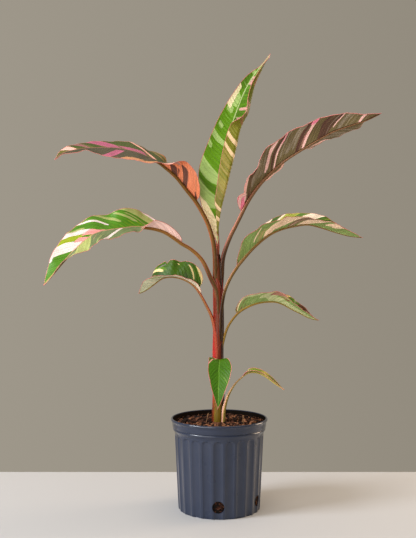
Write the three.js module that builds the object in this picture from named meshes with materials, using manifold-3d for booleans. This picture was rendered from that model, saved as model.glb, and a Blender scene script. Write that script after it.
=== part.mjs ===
// A young variegated pink banana plant in a plain one-gallon nursery pot.
// Millimetres, +Z up. The origin is on the pot's axis, on the surface that the pot stands on.
// +X is the plant's right as it is seen from the front, and the front faces -Y.
import * as THREE from "three";
import { mergeVertices } from "three/addons/utils/BufferGeometryUtils.js";
import Module from "manifold-3d";

const wasm = await Module();
wasm.setup();

// Driving dimensions of the pot.
const POT_HEIGHT = 154;
const RIM_RADIUS = 82.5;
const FOOT_RADIUS = 69.5;
const WALL = 1.6;
const FLOOR = 2.5;
const COLLAR_STEP = 6.8;
const FLUTES = 24;
const FLUTE_SHARE = 0.78;
const FLUTE_TURN = -2;
const FLUTE_DEPTH = 2.2;
const FLUTE_TOP = 128;
const FLUTE_SHOULDER = 6;
const LEDGE_RADIUS = RIM_RADIUS - 6.4;
const LEDGE_HEIGHT = POT_HEIGHT - 8.5;
const DRAIN_TURNS = [-2, 67, 178, 253];
const DRAIN_RADIUS = 10;
const DRAIN_HEIGHT = 20;
const DRILL_LENGTH = 20;
const DRILL_SIDES = 20;

// Driving dimensions of the potting mix.
const SOIL_TOP = 144;
const SOIL_GAP = 0.6;
const SOIL_RISE = 2.5;
const SOIL_MOUND = 1.5;
const SOIL_SHOULDER = 3;
const SOIL_ROWS = 7;
const SOIL_SIDES = 40;
const CHIPS = 40;
const CHIP_SEED = 11;
const CHIP_LENGTH = [5, 11];
const CHIP_WIDTH = [3, 6];
const CHIP_HEIGHT = [3, 5];
const CHIP_LEAN = 0.5;
const CHIP_LIFT = 0.4;
const CHIP_EDGE = 8;
const CHIP_CLEAR = 0.3;
const CHIP_STRAY = 0.4;
const GOLDEN_ANGLE = 2.39996;

// Driving dimensions of the plant.
const STEM_FOOT = 101;
const BLADE = 0.8;
const SEAT = 0.5;
const NARROW = 7;
const LEAST_WIDTH = 1.2;
const STATIONS = 22;
const COLUMNS = 3;
const ROLL_COLUMNS = 7;
const FINE_STEPS = 6;
const STEM_SIDES = 16;
const STALK_SIDES = 7;
const STALK_RINGS = 8;
const RIB_RINGS = 20;
const RIB_TIP_RADIUS = 0.6;
const RIB_TAPER = 0.7;
const STALK_THICK_UNTIL = 0.09;
const STALK_UNDER_FROM = 0.28;
const STEM_HOLE = { x: -1, y: -1, radius: 15.5, floor: STEM_FOOT - 0.4, depth: 80, sides: 28 };

// The pseudostem's axis from the buried foot to the fork, with its radius at each point.
const STEM_AXIS = [
  [-2, 0, STEM_FOOT, 10.4],
  [-2, 0, 145, 10.2],
  [-1, 0, 200, 9.4],
  [-2, 0, 260, 8.8],
  [-1, 0, 320, 8.6],
  [-2, -1, 372, 8.2],
  [-3, -2, 405, 7.2],
  [-3, 0, 432, 4.6],
];

// One leaf: its stalk runs from inside the stem to the foot of the blade, and its rib from there to
// the tip. Thick holds the stalk's radius where it leaves the stem and at the foot of the blade.
// Far and near are the blade's halves behind the rib and towards the front. A half has its greatest
// width, the share of the rib that it starts after, the share over which it fills out and how roundly,
// the share where it starts to taper and how late, and its turns. Span is the share of the half that
// its bend takes up. A turn holds the share along the rib, the half's angle at the rib, its angle at
// the margin, and where across the half it bends. Angles are in degrees round the rib: 0 is up, 90 is
// to the front and 180 is down. On an upright or a hanging leaf 0 is to the left and 180 to the right.
// Tears are dips in a half's width: the share along the rib, how deep as a share of the width, and how long.
// Wave holds the margin's ripple: its height, how many there are along the leaf, and its phase.
const LEAVES = [
  {
    name: "leaf_top",
    color: "#6f9a3c",
    stalk: [[-3, 1, 400], [-3, 1, 419], [-2, 1, 446]],
    rib: [
      [-2, 1, 446], [-3, 2, 487], [-1, 3, 528], [3, 3, 568], [11, 2, 610], [20, 1, 648], [28, -1, 672],
      [38, -3, 698], [51, -8, 724], [67, -14, 746], [86, -20, 769],
    ],
    thick: [4, 3],
    wave: [0.6, 4, 0],
    far: {
      width: 39, delay: 0, rise: 0.36, round: 1.25, crown: 0.38, taper: 1.1,
      turns: [[0, 20, 20], [0.3, 5, 15], [0.6, 0, 15], [1, 10, 20]],
      tears: [[0.95, 0.9, 0.06]],
    },
    near: {
      width: 43, delay: 0, rise: 0.5, round: 1.5, crown: 0.5, taper: 1.6, span: 0.4,
      turns: [
        [0, 172, -30, 0.3], [0.17, 180, -20, 0.34], [0.3, 190, -10, 0.43], [0.5, 190, 0, 0.44],
        [0.6, 190, 5, 0.46], [0.65, 185, 60, 0.5], [0.69, 180, 60, 0.6], [0.8, 178, 30, 0.6],
        [0.9, 175, 40, 0.55], [1, 170, 60, 0.5],
      ],
    },
  },
  {
    name: "leaf_upper_left",
    color: "#8c4a44",
    stalk: [
      [-4, -3, 340], [-6, -5, 391], [-8, -8, 446], [-17, -12, 483], [-30, -15, 510], [-38, -17, 523],
    ],
    rib: [
      [-38, -17, 523], [-53, -22, 540], [-71, -28, 561], [-87, -34, 575], [-99, -39, 584],
      [-117, -45, 592], [-136, -50, 599], [-169, -58, 605], [-203, -66, 604], [-233, -72, 600],
      [-254, -77, 593], [-266, -80, 582],
    ],
    thick: [4.8, 3.6],
    wave: [1.2, 5, 0.6],
    far: {
      width: 34, delay: 0, rise: 0.16, round: 0.5, crown: 0.5, taper: 2.4,
      turns: [
        [0, -90, -90], [0.22, -92, -92], [0.3, -66, -68], [0.4, -64, -68], [0.48, -58, -66],
        [0.6, -62, -62], [0.75, -58, -64], [0.9, -45, -50], [1, -45, -45],
      ],
    },
    near: {
      width: 30, delay: 0, rise: 0.16, round: 0.6, crown: 0.5, taper: 2,
      turns: [
        [0, 34, 44], [0.08, 22, 36], [0.2, 8, 24], [0.25, 20, 60], [0.29, 50, 100], [0.34, 84, 108],
        [0.42, 115, 117], [0.47, 117, 118], [0.53, 126, 127], [0.6, 134, 132], [0.68, 130, 128],
        [0.74, 126, 124], [0.8, 110, 110], [0.88, 118, 118], [1, 114, 114],
      ],
    },
  },
  {
    name: "leaf_mid_left",
    color: "#6b9a4e",
    stalk: [
      [-1, -4, 318], [-4, -6, 368], [-14, -9, 393], [-28, -11, 424], [-45, -14, 442], [-63, -18, 453],
    ],
    rib: [
      [-63, -18, 453], [-78, -22, 463], [-92, -26, 471], [-106, -30, 475], [-121, -34, 477],
      [-143, -39, 477], [-164, -45, 474], [-184, -51, 471], [-200, -57, 467], [-213, -63, 459],
      [-223, -69, 450], [-237, -78, 435], [-251, -90, 417], [-266, -99, 397], [-278, -108, 381],
    ],
    thick: [5, 3.4],
    wave: [1.4, 6, 0.3],
    far: {
      width: 36, delay: 0.15, rise: 0.2, round: 0.6, crown: 0.52, taper: 2.3,
      turns: [
        [0, -55, -20], [0.2, -45, -35], [0.3, -28, -30], [0.38, -20, -26], [0.46, -38, -46],
        [0.54, -30, -34], [0.62, -32, -32], [0.7, -26, -26], [0.85, -18, -20], [1, -40, -40],
      ],
    },
    near: {
      width: 31, delay: 0, rise: 0.5, round: 0.6, crown: 0.5, taper: 1.9,
      turns: [
        [0, 35, 50], [0.1, 42, 60], [0.2, 54, 72], [0.25, 76, 92], [0.29, 104, 112], [0.4, 114, 112],
        [0.5, 126, 124], [0.58, 124, 124], [0.64, 130, 130], [0.69, 138, 136], [0.75, 118, 116],
        [0.8, 104, 104], [0.88, 96, 96], [1, 110, 110],
      ],
    },
  },
  {
    name: "leaf_lower_left",
    color: "#4d7f2f",
    stalk: [[-2, -5, 235], [-6, -6, 295], [-11, -4, 324], [-21, -2, 347], [-31, 0, 366]],
    rib: [
      [-31, 0, 366], [-41, 3, 378], [-52, 7, 386], [-67, 12, 392], [-84, 18, 394], [-99, 25, 391],
      [-113, 30, 381], [-128, 34, 370], [-141, 38, 364],
    ],
    thick: [4, 2.4],
    wave: [1, 4, 0.1],
    far: {
      width: 32, delay: 0.07, rise: 0.26, round: 0.5, crown: 0.56, taper: 2.4,
      turns: [
        [0, -20, -10], [0.2, -4, -14], [0.34, -10, -22], [0.42, -22, -38], [0.48, -14, -32],
        [0.6, -28, -46], [0.7, -44, -58], [0.8, -55, -75], [1, -50, -60],
      ],
      tears: [[0.545, 0.18, 0.016]],
    },
    near: {
      width: 24, delay: 0, rise: 0.22, round: 0.5, crown: 0.6, taper: 2.8,
      turns: [[0, 70, 70], [0.3, 84, 84], [0.55, 82, 80], [0.68, 62, 56], [0.8, 44, 50], [1, 50, 50]],
    },
  },
  {
    name: "leaf_upper_right",
    color: "#6d5a47",
    stalk: [[0, 0, 350], [4, 1, 397], [6, 0, 427], [16, -3, 460], [26, -7, 482], [37, -11, 505]],
    rib: [
      [37, -11, 505], [43, -13, 516], [51, -16, 529], [62, -20, 544], [79, -27, 563], [96, -36, 578],
      [112, -43, 590], [129, -51, 600], [157, -62, 616], [182, -71, 629], [207, -79, 637],
      [232, -87, 644], [257, -93, 655],
    ],
    thick: [4.6, 3.4],
    wave: [1.4, 6, 0.45],
    far: {
      width: 36, delay: 0, rise: 0.3, round: 0.7, crown: 0.45, taper: 2,
      turns: [
        [0, -80, -80], [0.18, -92, -92], [0.26, -98, -102], [0.33, -98, -104], [0.38, -85, -88],
        [0.48, -88, -92], [0.6, -96, -102], [0.78, -106, -112], [0.86, -108, -112], [0.9, -85, -80],
        [1, -80, -80],
      ],
    },
    near: {
      width: 38, delay: 0, rise: 0.36, round: 0.7, crown: 0.45, taper: 2.2,
      turns: [
        [0, 25, 40], [0.06, 34, 52], [0.12, 46, 64], [0.2, 44, 60], [0.27, 50, 64], [0.32, 40, 56],
        [0.37, 18, 38], [0.46, 24, 43], [0.54, 14, 35], [0.62, 20, 46], [0.7, 20, 46], [0.8, 20, 42],
        [1, 25, 50],
      ],
      tears: [[0.05, -0.35, 0.04], [0.105, 0.16, 0.015]],
    },
  },
  {
    name: "leaf_mid_right",
    color: "#a3a06f",
    stalk: [[1, -5, 285], [3, -6, 337], [8, -3, 370], [18, 2, 395], [30, 8, 414]],
    rib: [
      [30, 8, 414], [40, 12, 425], [49, 16, 435], [61, 22, 447], [75, 28, 459], [93, 37, 471],
      [113, 46, 479], [135, 54, 484], [159, 62, 487], [183, 69, 482], [209, 75, 474], [236, 81, 467],
      [262, 86, 464],
    ],
    thick: [4, 3],
    wave: [1.2, 5, 0.7],
    far: {
      width: 32, delay: 0, rise: 0.36, round: 0.7, crown: 0.5, taper: 2.2,
      turns: [
        [0, -60, -70], [0.15, -60, -72], [0.26, -56, -70], [0.31, -60, -72], [0.365, -44, -60],
        [0.42, -33, -52], [0.6, -40, -50], [0.75, -30, -40], [0.9, -40, -40], [1, -50, -50],
      ],
    },
    near: {
      width: 30, delay: 0, rise: 0.36, round: 0.7, crown: 0.5, taper: 2.2,
      turns: [
        [0, 35, 40], [0.08, 18, 34], [0.15, 14, 28], [0.21, 34, 48], [0.27, 38, 52], [0.32, 52, 66],
        [0.37, 58, 70], [0.42, 50, 60], [0.52, 60, 74], [0.58, 68, 82], [0.64, 62, 76], [0.8, 45, 65],
        [0.9, 45, 55], [1, 45, 60],
      ],
    },
  },
  {
    name: "leaf_lower_right",
    color: "#8aa35c",
    stalk: [[0, -4, 215], [2, -4, 261], [6, -2, 284], [13, 1, 308], [22, 4, 323], [30, 8, 332]],
    rib: [
      [30, 8, 332], [39, 12, 338], [56, 17, 346], [72, 22, 350], [87, 28, 351], [101, 34, 350],
      [114, 40, 345], [130, 45, 336], [146, 50, 328], [162, 54, 320], [179, 59, 316],
    ],
    thick: [3.2, 2.2],
    wave: [0.9, 5, 0.2],
    far: {
      width: 21, delay: 0, rise: 0.22, round: 0.6, crown: 0.5, taper: 2.2,
      turns: [
        [0, -50, -60], [0.25, -50, -62], [0.45, -38, -55], [0.6, -15, -45], [0.8, -20, -35],
        [1, -40, -50],
      ],
    },
    near: {
      width: 21, delay: 0, rise: 0.22, round: 0.6, crown: 0.5, taper: 2,
      turns: [
        [0, 30, 30], [0.08, 18, 34], [0.15, 12, 36], [0.22, 32, 50], [0.33, 28, 52], [0.42, 20, 46],
        [0.5, 30, 55], [0.6, 50, 65], [0.8, 55, 65], [1, 45, 60],
      ],
    },
  },
  {
    name: "leaf_front",
    color: "#5a8f38",
    stalk: [[-1, -4, 205], [-1, -9, 232], [-1, -13, 246], [0, -16, 254]],
    rib: [
      [0, -16, 254], [0, -25, 251.5], [-1, -33, 240], [-1, -39, 226], [-2, -43, 210], [-2, -45, 194],
      [-3, -44, 175],
    ],
    thick: [3, 2],
    wave: [0.5, 3, 0.2],
    far: {
      width: 18.5, delay: -0.05, rise: 0.08, round: 0.5, crown: 0.3, taper: 1.3,
      turns: [[0, 22, 8], [0.1, 18, 4], [0.2, 10, 8], [1, 10, 10]],
    },
    near: {
      width: 21.5, delay: -0.01, rise: 0.08, round: 0.5, crown: 0.3, taper: 1.2,
      turns: [[0, 160, 172], [0.1, 168, 172], [0.2, 172, 166], [0.3, 172, 162], [1, 170, 170]],
      tears: [[0, 0.4, 0.12]],
    },
  },
  {
    name: "leaf_ground",
    color: "#9aa24e",
    stalk: [
      [3, -4, 112], [6, -6, 137], [7, -9, 165], [13, -12, 190], [20, -15, 205], [29, -18, 218],
      [39, -22, 228],
    ],
    rib: [
      [39, -22, 228], [47, -24, 233], [56, -27, 235], [68, -31, 233], [79, -35, 227], [93, -41, 217],
      [107, -47, 208],
    ],
    thick: [5, 1.3],
    wave: [0.4, 3, 0],
    far: {
      width: 8.4, delay: 0.1, rise: 0.16, round: 0.5, crown: 0.5, taper: 2,
      turns: [[0, -30, -30], [0.3, -44, -40], [0.5, -52, -44], [1, -60, -60]],
    },
    near: {
      width: 9, delay: 0, rise: 0.3, round: 0.5, crown: 0.5, taper: 2,
      turns: [[0, 70, 60], [0.5, 75, 65], [1, 80, 80]],
    },
  },
];

// Small helpers.
const rad = (degrees) => (degrees * Math.PI) / 180;
const clamp = (x) => Math.min(Math.max(x, 0), 1);
const smooth = (x) => clamp(x) ** 2 * (3 - 2 * clamp(x));
const mix = (a, b, f) => a + (b - a) * f;
const past = (x, start) => (x - start) / (1 - start);

// A repeatable stream of numbers from 0 to 1.
function stream(seed) {
  let state = seed;
  return () => {
    state = (state * 16807) % 2147483647;
    return state / 2147483647;
  };
}

// Reads column k of a table at t, on a smooth line through the rows, whose first column is t.
function read(rows, k, t, missing) {
  const value = (row) => row[k] ?? missing;
  const last = rows.length - 1;
  if (t <= rows[0][0]) return value(rows[0]);
  if (t >= rows[last][0]) return value(rows[last]);
  const i = rows.findIndex((row) => row[0] > t) - 1;
  const slope = (j) => {
    const a = rows[Math.max(j - 1, 0)];
    const b = rows[Math.min(j + 1, last)];
    return (value(b) - value(a)) / (b[0] - a[0]);
  };
  const h = rows[i + 1][0] - rows[i][0];
  const w = (t - rows[i][0]) / h;
  return (
    (2 * w ** 3 - 3 * w ** 2 + 1) * value(rows[i]) +
    (w ** 3 - 2 * w ** 2 + w) * slope(i) * h +
    (3 * w ** 2 - 2 * w ** 3) * value(rows[i + 1]) +
    (w ** 3 - w ** 2) * slope(i + 1) * h
  );
}

// A closed mesh from a grid of points whose rows close round, with a fan at each end.
function closedGrid(rows, startPoint, endPoint) {
  const n = rows[0].length;
  const points = [...rows.flat(), startPoint, endPoint];
  const faces = [];
  for (let i = 0; i + 1 < rows.length; i++)
    for (let j = 0; j < n; j++) {
      const k = (j + 1) % n;
      faces.push([i * n + j, i * n + k, (i + 1) * n + k]);
      faces.push([i * n + j, (i + 1) * n + k, (i + 1) * n + j]);
    }
  const tail = (rows.length - 1) * n;
  for (let j = 0; j < n; j++) {
    const k = (j + 1) % n;
    faces.push([points.length - 2, k, j]);
    faces.push([points.length - 1, tail + j, tail + k]);
  }
  return geometryOf(points, faces);
}

function geometryOf(points, faces) {
  const geometry = new THREE.BufferGeometry();
  const places = points.flatMap((p) => [p.x, p.y, p.z]);
  geometry.setAttribute("position", new THREE.Float32BufferAttribute(places, 3));
  geometry.setIndex(faces.flat());
  return geometry;
}

// A closed geometry as a solid for joining and cutting, and back again.
function solidOf(geometry) {
  const bare = geometry.clone();
  bare.deleteAttribute("normal");
  bare.deleteAttribute("uv");
  const merged = mergeVertices(bare, 1e-3);
  return new wasm.Manifold(
    new wasm.Mesh({
      numProp: 3,
      vertProperties: new Float32Array(merged.attributes.position.array),
      triVerts: new Uint32Array(merged.index.array),
    }),
  );
}

function geometryFrom(solid) {
  const mesh = solid.getMesh();
  const geometry = new THREE.BufferGeometry();
  geometry.setAttribute("position", new THREE.Float32BufferAttribute(mesh.vertProperties, 3));
  geometry.setIndex(Array.from(mesh.triVerts));
  return geometry;
}

function meshOf(name, geometry, color, roughness) {
  const material = new THREE.MeshStandardMaterial({ color, roughness, metalness: 0 });
  const mesh = new THREE.Mesh(geometry, material);
  mesh.name = name;
  return mesh;
}

// Pot: its wall is one outline turned round the axis, with shallow hollow flutes pressed in all round.

// Radius, height and whether the flutes press the wall in there, from the foot's middle out and up,
// over the lip and back down the inside to the floor's middle.
const SLOPE = (RIM_RADIUS - COLLAR_STEP - FOOT_RADIUS) / FLUTE_TOP;
const POT_OUTLINE = [
  [FOOT_RADIUS - 2.2, 0, 1],
  [FOOT_RADIUS, 2, 1],
  [FOOT_RADIUS + SLOPE * (FLUTE_TOP - FLUTE_SHOULDER), FLUTE_TOP - FLUTE_SHOULDER, 1],
  [FOOT_RADIUS + SLOPE * FLUTE_TOP, FLUTE_TOP, 0],
  [RIM_RADIUS - 4.2, POT_HEIGHT - 17.6, 0],
  [RIM_RADIUS - 4.4, POT_HEIGHT - 16, 0],
  [RIM_RADIUS - 2.9, POT_HEIGHT - 14.6, 0],
  [RIM_RADIUS - 2.1, POT_HEIGHT - 5, 0],
  [RIM_RADIUS - 0.6, POT_HEIGHT - 3.6, 0],
  [RIM_RADIUS, POT_HEIGHT - 2, 0],
  [RIM_RADIUS - 1, POT_HEIGHT - 0.4, 0],
  [RIM_RADIUS - 2.4, POT_HEIGHT, 0],
  [RIM_RADIUS - 3.7, POT_HEIGHT - 1, 0],
  [RIM_RADIUS - 4, POT_HEIGHT - 7, 0],
  [LEDGE_RADIUS, LEDGE_HEIGHT, 0],
  [FOOT_RADIUS + SLOPE * FLUTE_TOP - WALL - FLUTE_DEPTH, FLUTE_TOP, 0],
  [FOOT_RADIUS - WALL - FLUTE_DEPTH, FLOOR, 0],
];

// The wall's corners round the pot: the two edges of each flute and two points across its hollow.
const HOLLOW = [
  [0, 0],
  [0.28, 0.9],
  [0.72, 0.9],
  [1, 0],
];

function potAngles() {
  const pitch = 360 / FLUTES;
  const width = pitch * FLUTE_SHARE;
  const angles = [];
  for (let i = 0; i < FLUTES; i++)
    for (const [share, pressed] of HOLLOW)
      angles.push({ angle: rad(-90 + FLUTE_TURN + i * pitch + (share - 0.5) * width), pressed });
  return angles;
}

function buildPot() {
  const angles = potAngles();
  const rows = POT_OUTLINE.map(([radius, z, fluted]) =>
    angles.map(({ angle, pressed }) => {
      const r = radius - FLUTE_DEPTH * fluted * pressed;
      return new THREE.Vector3(r * Math.cos(angle), r * Math.sin(angle), z);
    }),
  );
  const wall = closedGrid(rows, new THREE.Vector3(0, 0, 0), new THREE.Vector3(0, 0, FLOOR));
  let pot = solidOf(wall);
  for (const turn of DRAIN_TURNS) {
    const drill = new THREE.CylinderGeometry(DRAIN_RADIUS, DRAIN_RADIUS, DRILL_LENGTH, DRILL_SIDES);
    drill.translate(0, FOOT_RADIUS, 0);
    drill.rotateZ(rad(180 + turn));
    drill.translate(0, 0, DRAIN_HEIGHT);
    pot = pot.subtract(solidOf(drill));
  }
  return geometryFrom(pot);
}

// Potting mix: a filled body with an uneven top, bark chips sunk into it, and a plain hole for the stem.

function soilHeight(x, y) {
  const wide = Math.sin(x * 0.09 + 1.3) * Math.cos(y * 0.11);
  const fine = Math.sin(x * 0.31 + y * 0.23) * Math.sin(y * 0.37 - x * 0.12);
  const mound = SOIL_MOUND * (1 - (x * x + y * y) / FOOT_RADIUS ** 2);
  return SOIL_TOP + mound + SOIL_RISE * (0.5 * wide + 0.5 * fine);
}

function buildSoil() {
  const inside = FOOT_RADIUS - WALL - FLUTE_DEPTH - SOIL_GAP;
  const neck = inside + SLOPE * FLUTE_TOP;
  const flare = (LEDGE_RADIUS - SOIL_GAP - neck) / (LEDGE_HEIGHT - FLUTE_TOP);
  const top = neck + flare * (SOIL_TOP - SOIL_SHOULDER - FLUTE_TOP);
  const ring = (radius, height) =>
    Array.from({ length: SOIL_SIDES }, (_, j) => {
      const angle = (j * 2 * Math.PI) / SOIL_SIDES;
      const x = radius * Math.cos(angle);
      const y = radius * Math.sin(angle);
      return new THREE.Vector3(x, y, height ?? soilHeight(x, y));
    });
  const rows = [
    ring(inside, FLOOR + SOIL_GAP),
    ring(neck, FLUTE_TOP - SOIL_GAP),
    ring(top, SOIL_TOP - SOIL_SHOULDER),
  ];
  for (let i = SOIL_ROWS; i > 0; i--) rows.push(ring((top * i) / SOIL_ROWS));
  const foot = new THREE.Vector3(0, 0, FLOOR + SOIL_GAP);
  const middle = new THREE.Vector3(0, 0, soilHeight(0, 0));
  let soil = solidOf(closedGrid(rows, foot, middle));

  const draw = stream(CHIP_SEED);
  for (let i = 0; i < CHIPS; i++) {
    const reach = (top - CHIP_EDGE) * Math.sqrt(mix(CHIP_CLEAR ** 2, 1, (i + 0.5) / CHIPS));
    const angle = i * GOLDEN_ANGLE + draw() * CHIP_STRAY;
    const x = reach * Math.cos(angle);
    const y = reach * Math.sin(angle);
    const sides = [CHIP_LENGTH, CHIP_WIDTH, CHIP_HEIGHT].map(([least, most]) => mix(least, most, draw()));
    const chip = new THREE.BoxGeometry(...sides);
    chip.rotateX(mix(-CHIP_LEAN, CHIP_LEAN, draw()));
    chip.rotateY(mix(-CHIP_LEAN, CHIP_LEAN, draw()));
    chip.rotateZ(draw() * Math.PI);
    chip.translate(x, y, soilHeight(x, y) + CHIP_LIFT);
    soil = soil.add(solidOf(chip));
  }

  const { x, y, radius, floor, depth, sides } = STEM_HOLE;
  const hole = new THREE.CylinderGeometry(radius, radius, depth, sides);
  hole.rotateX(Math.PI / 2);
  hole.translate(x, y, floor + depth / 2);
  return geometryFrom(soil.subtract(solidOf(hole)));
}

// Leaves: a route, the two directions across it, and the section that each half follows there.

function route(points) {
  return new THREE.CatmullRomCurve3(points.map((p) => new THREE.Vector3(...p)));
}

// Up and front, seen across the route at t. On an upright or a hanging leaf, up is to the left.
function across(curve, t, side) {
  const along = curve.getTangentAt(t);
  const front = new THREE.Vector3(0, -1, 0).addScaledVector(along, along.y).normalize();
  return { up: new THREE.Vector3().crossVectors(along, front).multiplyScalar(side), front };
}

function sideOf(leaf) {
  const along = route(leaf.rib).getTangentAt(0.5);
  const up = new THREE.Vector3().crossVectors(along, new THREE.Vector3(0, -1, 0));
  return Math.abs(along.z) > 0.8 ? -Math.sign(up.x) : Math.sign(up.z);
}

// A half's width at t.
function widthAt(half, t) {
  const filled = clamp((t - half.delay) / half.rise);
  const tapered = Math.max(0, t - half.crown) / (1 - half.crown);
  let width = half.width * (1 - (1 - filled) ** 2) ** half.round * (1 - tapered ** half.taper);
  for (const [place, depth, length] of half.tears ?? []) {
    const away = (t - place) / length;
    width *= 1 - depth * Math.exp(-(away * away));
  }
  return width;
}

// Both halves' widths and angles at t. Where the blade is narrow, its halves open out flat.
function spread(leaf, t) {
  const far = Math.max(widthAt(leaf.far, t), LEAST_WIDTH);
  const near = Math.max(widthAt(leaf.near, t), LEAST_WIDTH);
  const angle = (half, k) => read(half.turns, k, t);
  const middle = (angle(leaf.far, 1) + angle(leaf.near, 1)) / 2;
  const half = (name, width, flat) => {
    const open = 1 - smooth(width / NARROW);
    return {
      width,
      start: mix(angle(leaf[name], 1), flat, open),
      end: mix(angle(leaf[name], 2), flat, open),
      place: read(leaf[name].turns, 3, t, 0.5),
      span: leaf[name].span ?? 1,
    };
  };
  return { middle, far: half("far", far, middle - 90), near: half("near", near, middle + 90) };
}

// Points across one half in the plane of up and front, from the rib to the margin, with the margin's ripple.
function sectionOf(half, columns, ripple) {
  const points = [[0, 0]];
  const steps = columns * FINE_STEPS;
  const step = half.width / steps;
  let up = 0;
  let front = 0;
  for (let i = 1; i <= steps; i++) {
    const s = (i - 0.5) / steps;
    const bend = smooth((s - half.place) / half.span + 0.5);
    const angle = rad(mix(half.start, half.end, bend));
    up += step * Math.cos(angle);
    front += step * Math.sin(angle);
    if (i % FINE_STEPS === 0) {
      const lift = ripple * s * s;
      points.push([up - lift * Math.sin(angle), front + lift * Math.cos(angle)]);
    }
  }
  return points;
}

// The blade's middle surface: rows along the rib, each from the far margin across the rib to the near one.
function bladeRows(leaf) {
  const rib = route(leaf.rib);
  const side = sideOf(leaf);
  const [height, count, phase] = leaf.wave;
  const rows = [];
  for (let i = 0; i <= STATIONS; i++) {
    const t = i / STATIONS;
    const { up, front } = across(rib, t, side);
    const { far, near } = spread(leaf, t);
    const foot = rib.getPointAt(t);
    const rise = height * smooth(Math.min(far.width, near.width) / (3 * NARROW));
    const wave = (shift) => rise * Math.sin(2 * Math.PI * (count * t + phase + shift));
    const place = ([a, b]) => foot.clone().addScaledVector(up, a).addScaledVector(front, b);
    const farPoints = sectionOf(far, leaf.far.span ? ROLL_COLUMNS : COLUMNS, wave(0)).map(place);
    const nearPoints = sectionOf(near, leaf.near.span ? ROLL_COLUMNS : COLUMNS, wave(0.3)).map(place);
    rows.push([...farPoints.reverse(), ...nearPoints.slice(1)]);
  }
  return rows;
}

// A thin closed sheet about a grid of points, half the thickness to each side.
// At the crease along the rib, the offset grows so that both halves keep their thickness, up to a limit.
const CREASE_MITER = 2.4;
const MITER = 1.3;

function sheet(rows, crease, thickness) {
  const n = rows[0].length;
  const last = rows.length - 1;
  const point = (i, j) => rows[Math.min(Math.max(i, 0), last)][Math.min(Math.max(j, 0), n - 1)];
  const normal = (i, j0, j1) => {
    const along = point(i + 1, j0).clone().sub(point(i - 1, j0));
    const over = point(i, j1).clone().sub(point(i, j0));
    if (j0 !== j1 && over.lengthSq() > 0) return along.cross(over).normalize();
    return along;
  };
  const top = [];
  const bottom = [];
  for (let i = 0; i <= last; i++)
    for (let j = 0; j < n; j++) {
      const before = normal(i, Math.max(j - 1, 0), Math.max(j, 1));
      const after = normal(i, Math.min(j, n - 2), Math.min(j + 1, n - 1));
      const mean = before.clone().add(after).normalize();
      const limit = j === crease ? CREASE_MITER : MITER;
      const miter = Math.min(1 / Math.max(mean.dot(after), 1 / CREASE_MITER), limit);
      top.push(point(i, j).clone().addScaledVector(mean, (thickness / 2) * miter));
      bottom.push(point(i, j).clone().addScaledVector(mean, (-thickness / 2) * miter));
    }
  const points = [...top, ...bottom];
  const count = top.length;
  const faces = [];
  const quad = (a, b, c, d) => faces.push([a, b, c], [a, c, d]);
  for (let i = 0; i < last; i++)
    for (let j = 0; j + 1 < n; j++) {
      const a = i * n + j;
      const flip = j < crease;
      const corners = flip ? [a, a + n, a + n + 1, a + 1] : [a + n, a + n + 1, a + 1, a];
      quad(...corners);
      faces.push([corners[2], corners[1], corners[0]].map((v) => v + count));
      faces.push([corners[3], corners[2], corners[0]].map((v) => v + count));
    }
  for (let i = 0; i < last; i++) {
    const a = i * n;
    const b = i * n + n - 1;
    quad(a + count, a + n + count, a + n, a);
    quad(b, b + n, b + n + count, b + count);
  }
  for (let j = 0; j + 1 < n; j++) {
    const b = last * n + j;
    quad(j, j + 1, j + 1 + count, j + count);
    quad(b + count, b + 1 + count, b + 1, b);
  }
  return geometryOf(points, faces);
}

function buildBlade(leaf) {
  const rows = bladeRows(leaf);
  const crease = leaf.far.span ? ROLL_COLUMNS : COLUMNS;
  const geometry = sheet(rows, crease, BLADE);
  return solidOf(geometry).volume() < 0 ? turned(geometry) : geometry;
}

function turned(geometry) {
  const index = Array.from(geometry.index.array);
  for (let i = 0; i < index.length; i += 3) [index[i + 1], index[i + 2]] = [index[i + 2], index[i + 1]];
  geometry.setIndex(index);
  return geometry;
}

// Stem: each tube follows a list of centres with a radius at each.

function tube(centres, radii, sides) {
  const curve = new THREE.CatmullRomCurve3(centres);
  const frames = curve.computeFrenetFrames(centres.length - 1, false);
  const rows = centres.map((centre, i) =>
    Array.from({ length: sides }, (_, j) => {
      const angle = (j * 2 * Math.PI) / sides;
      return centre
        .clone()
        .addScaledVector(frames.normals[i], radii[i] * Math.cos(angle))
        .addScaledVector(frames.binormals[i], radii[i] * Math.sin(angle));
    }),
  );
  const geometry = closedGrid(rows, centres[0].clone(), centres[centres.length - 1].clone());
  const solid = solidOf(geometry);
  return solid.volume() < 0 ? solidOf(turned(geometry)) : solid;
}

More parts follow.
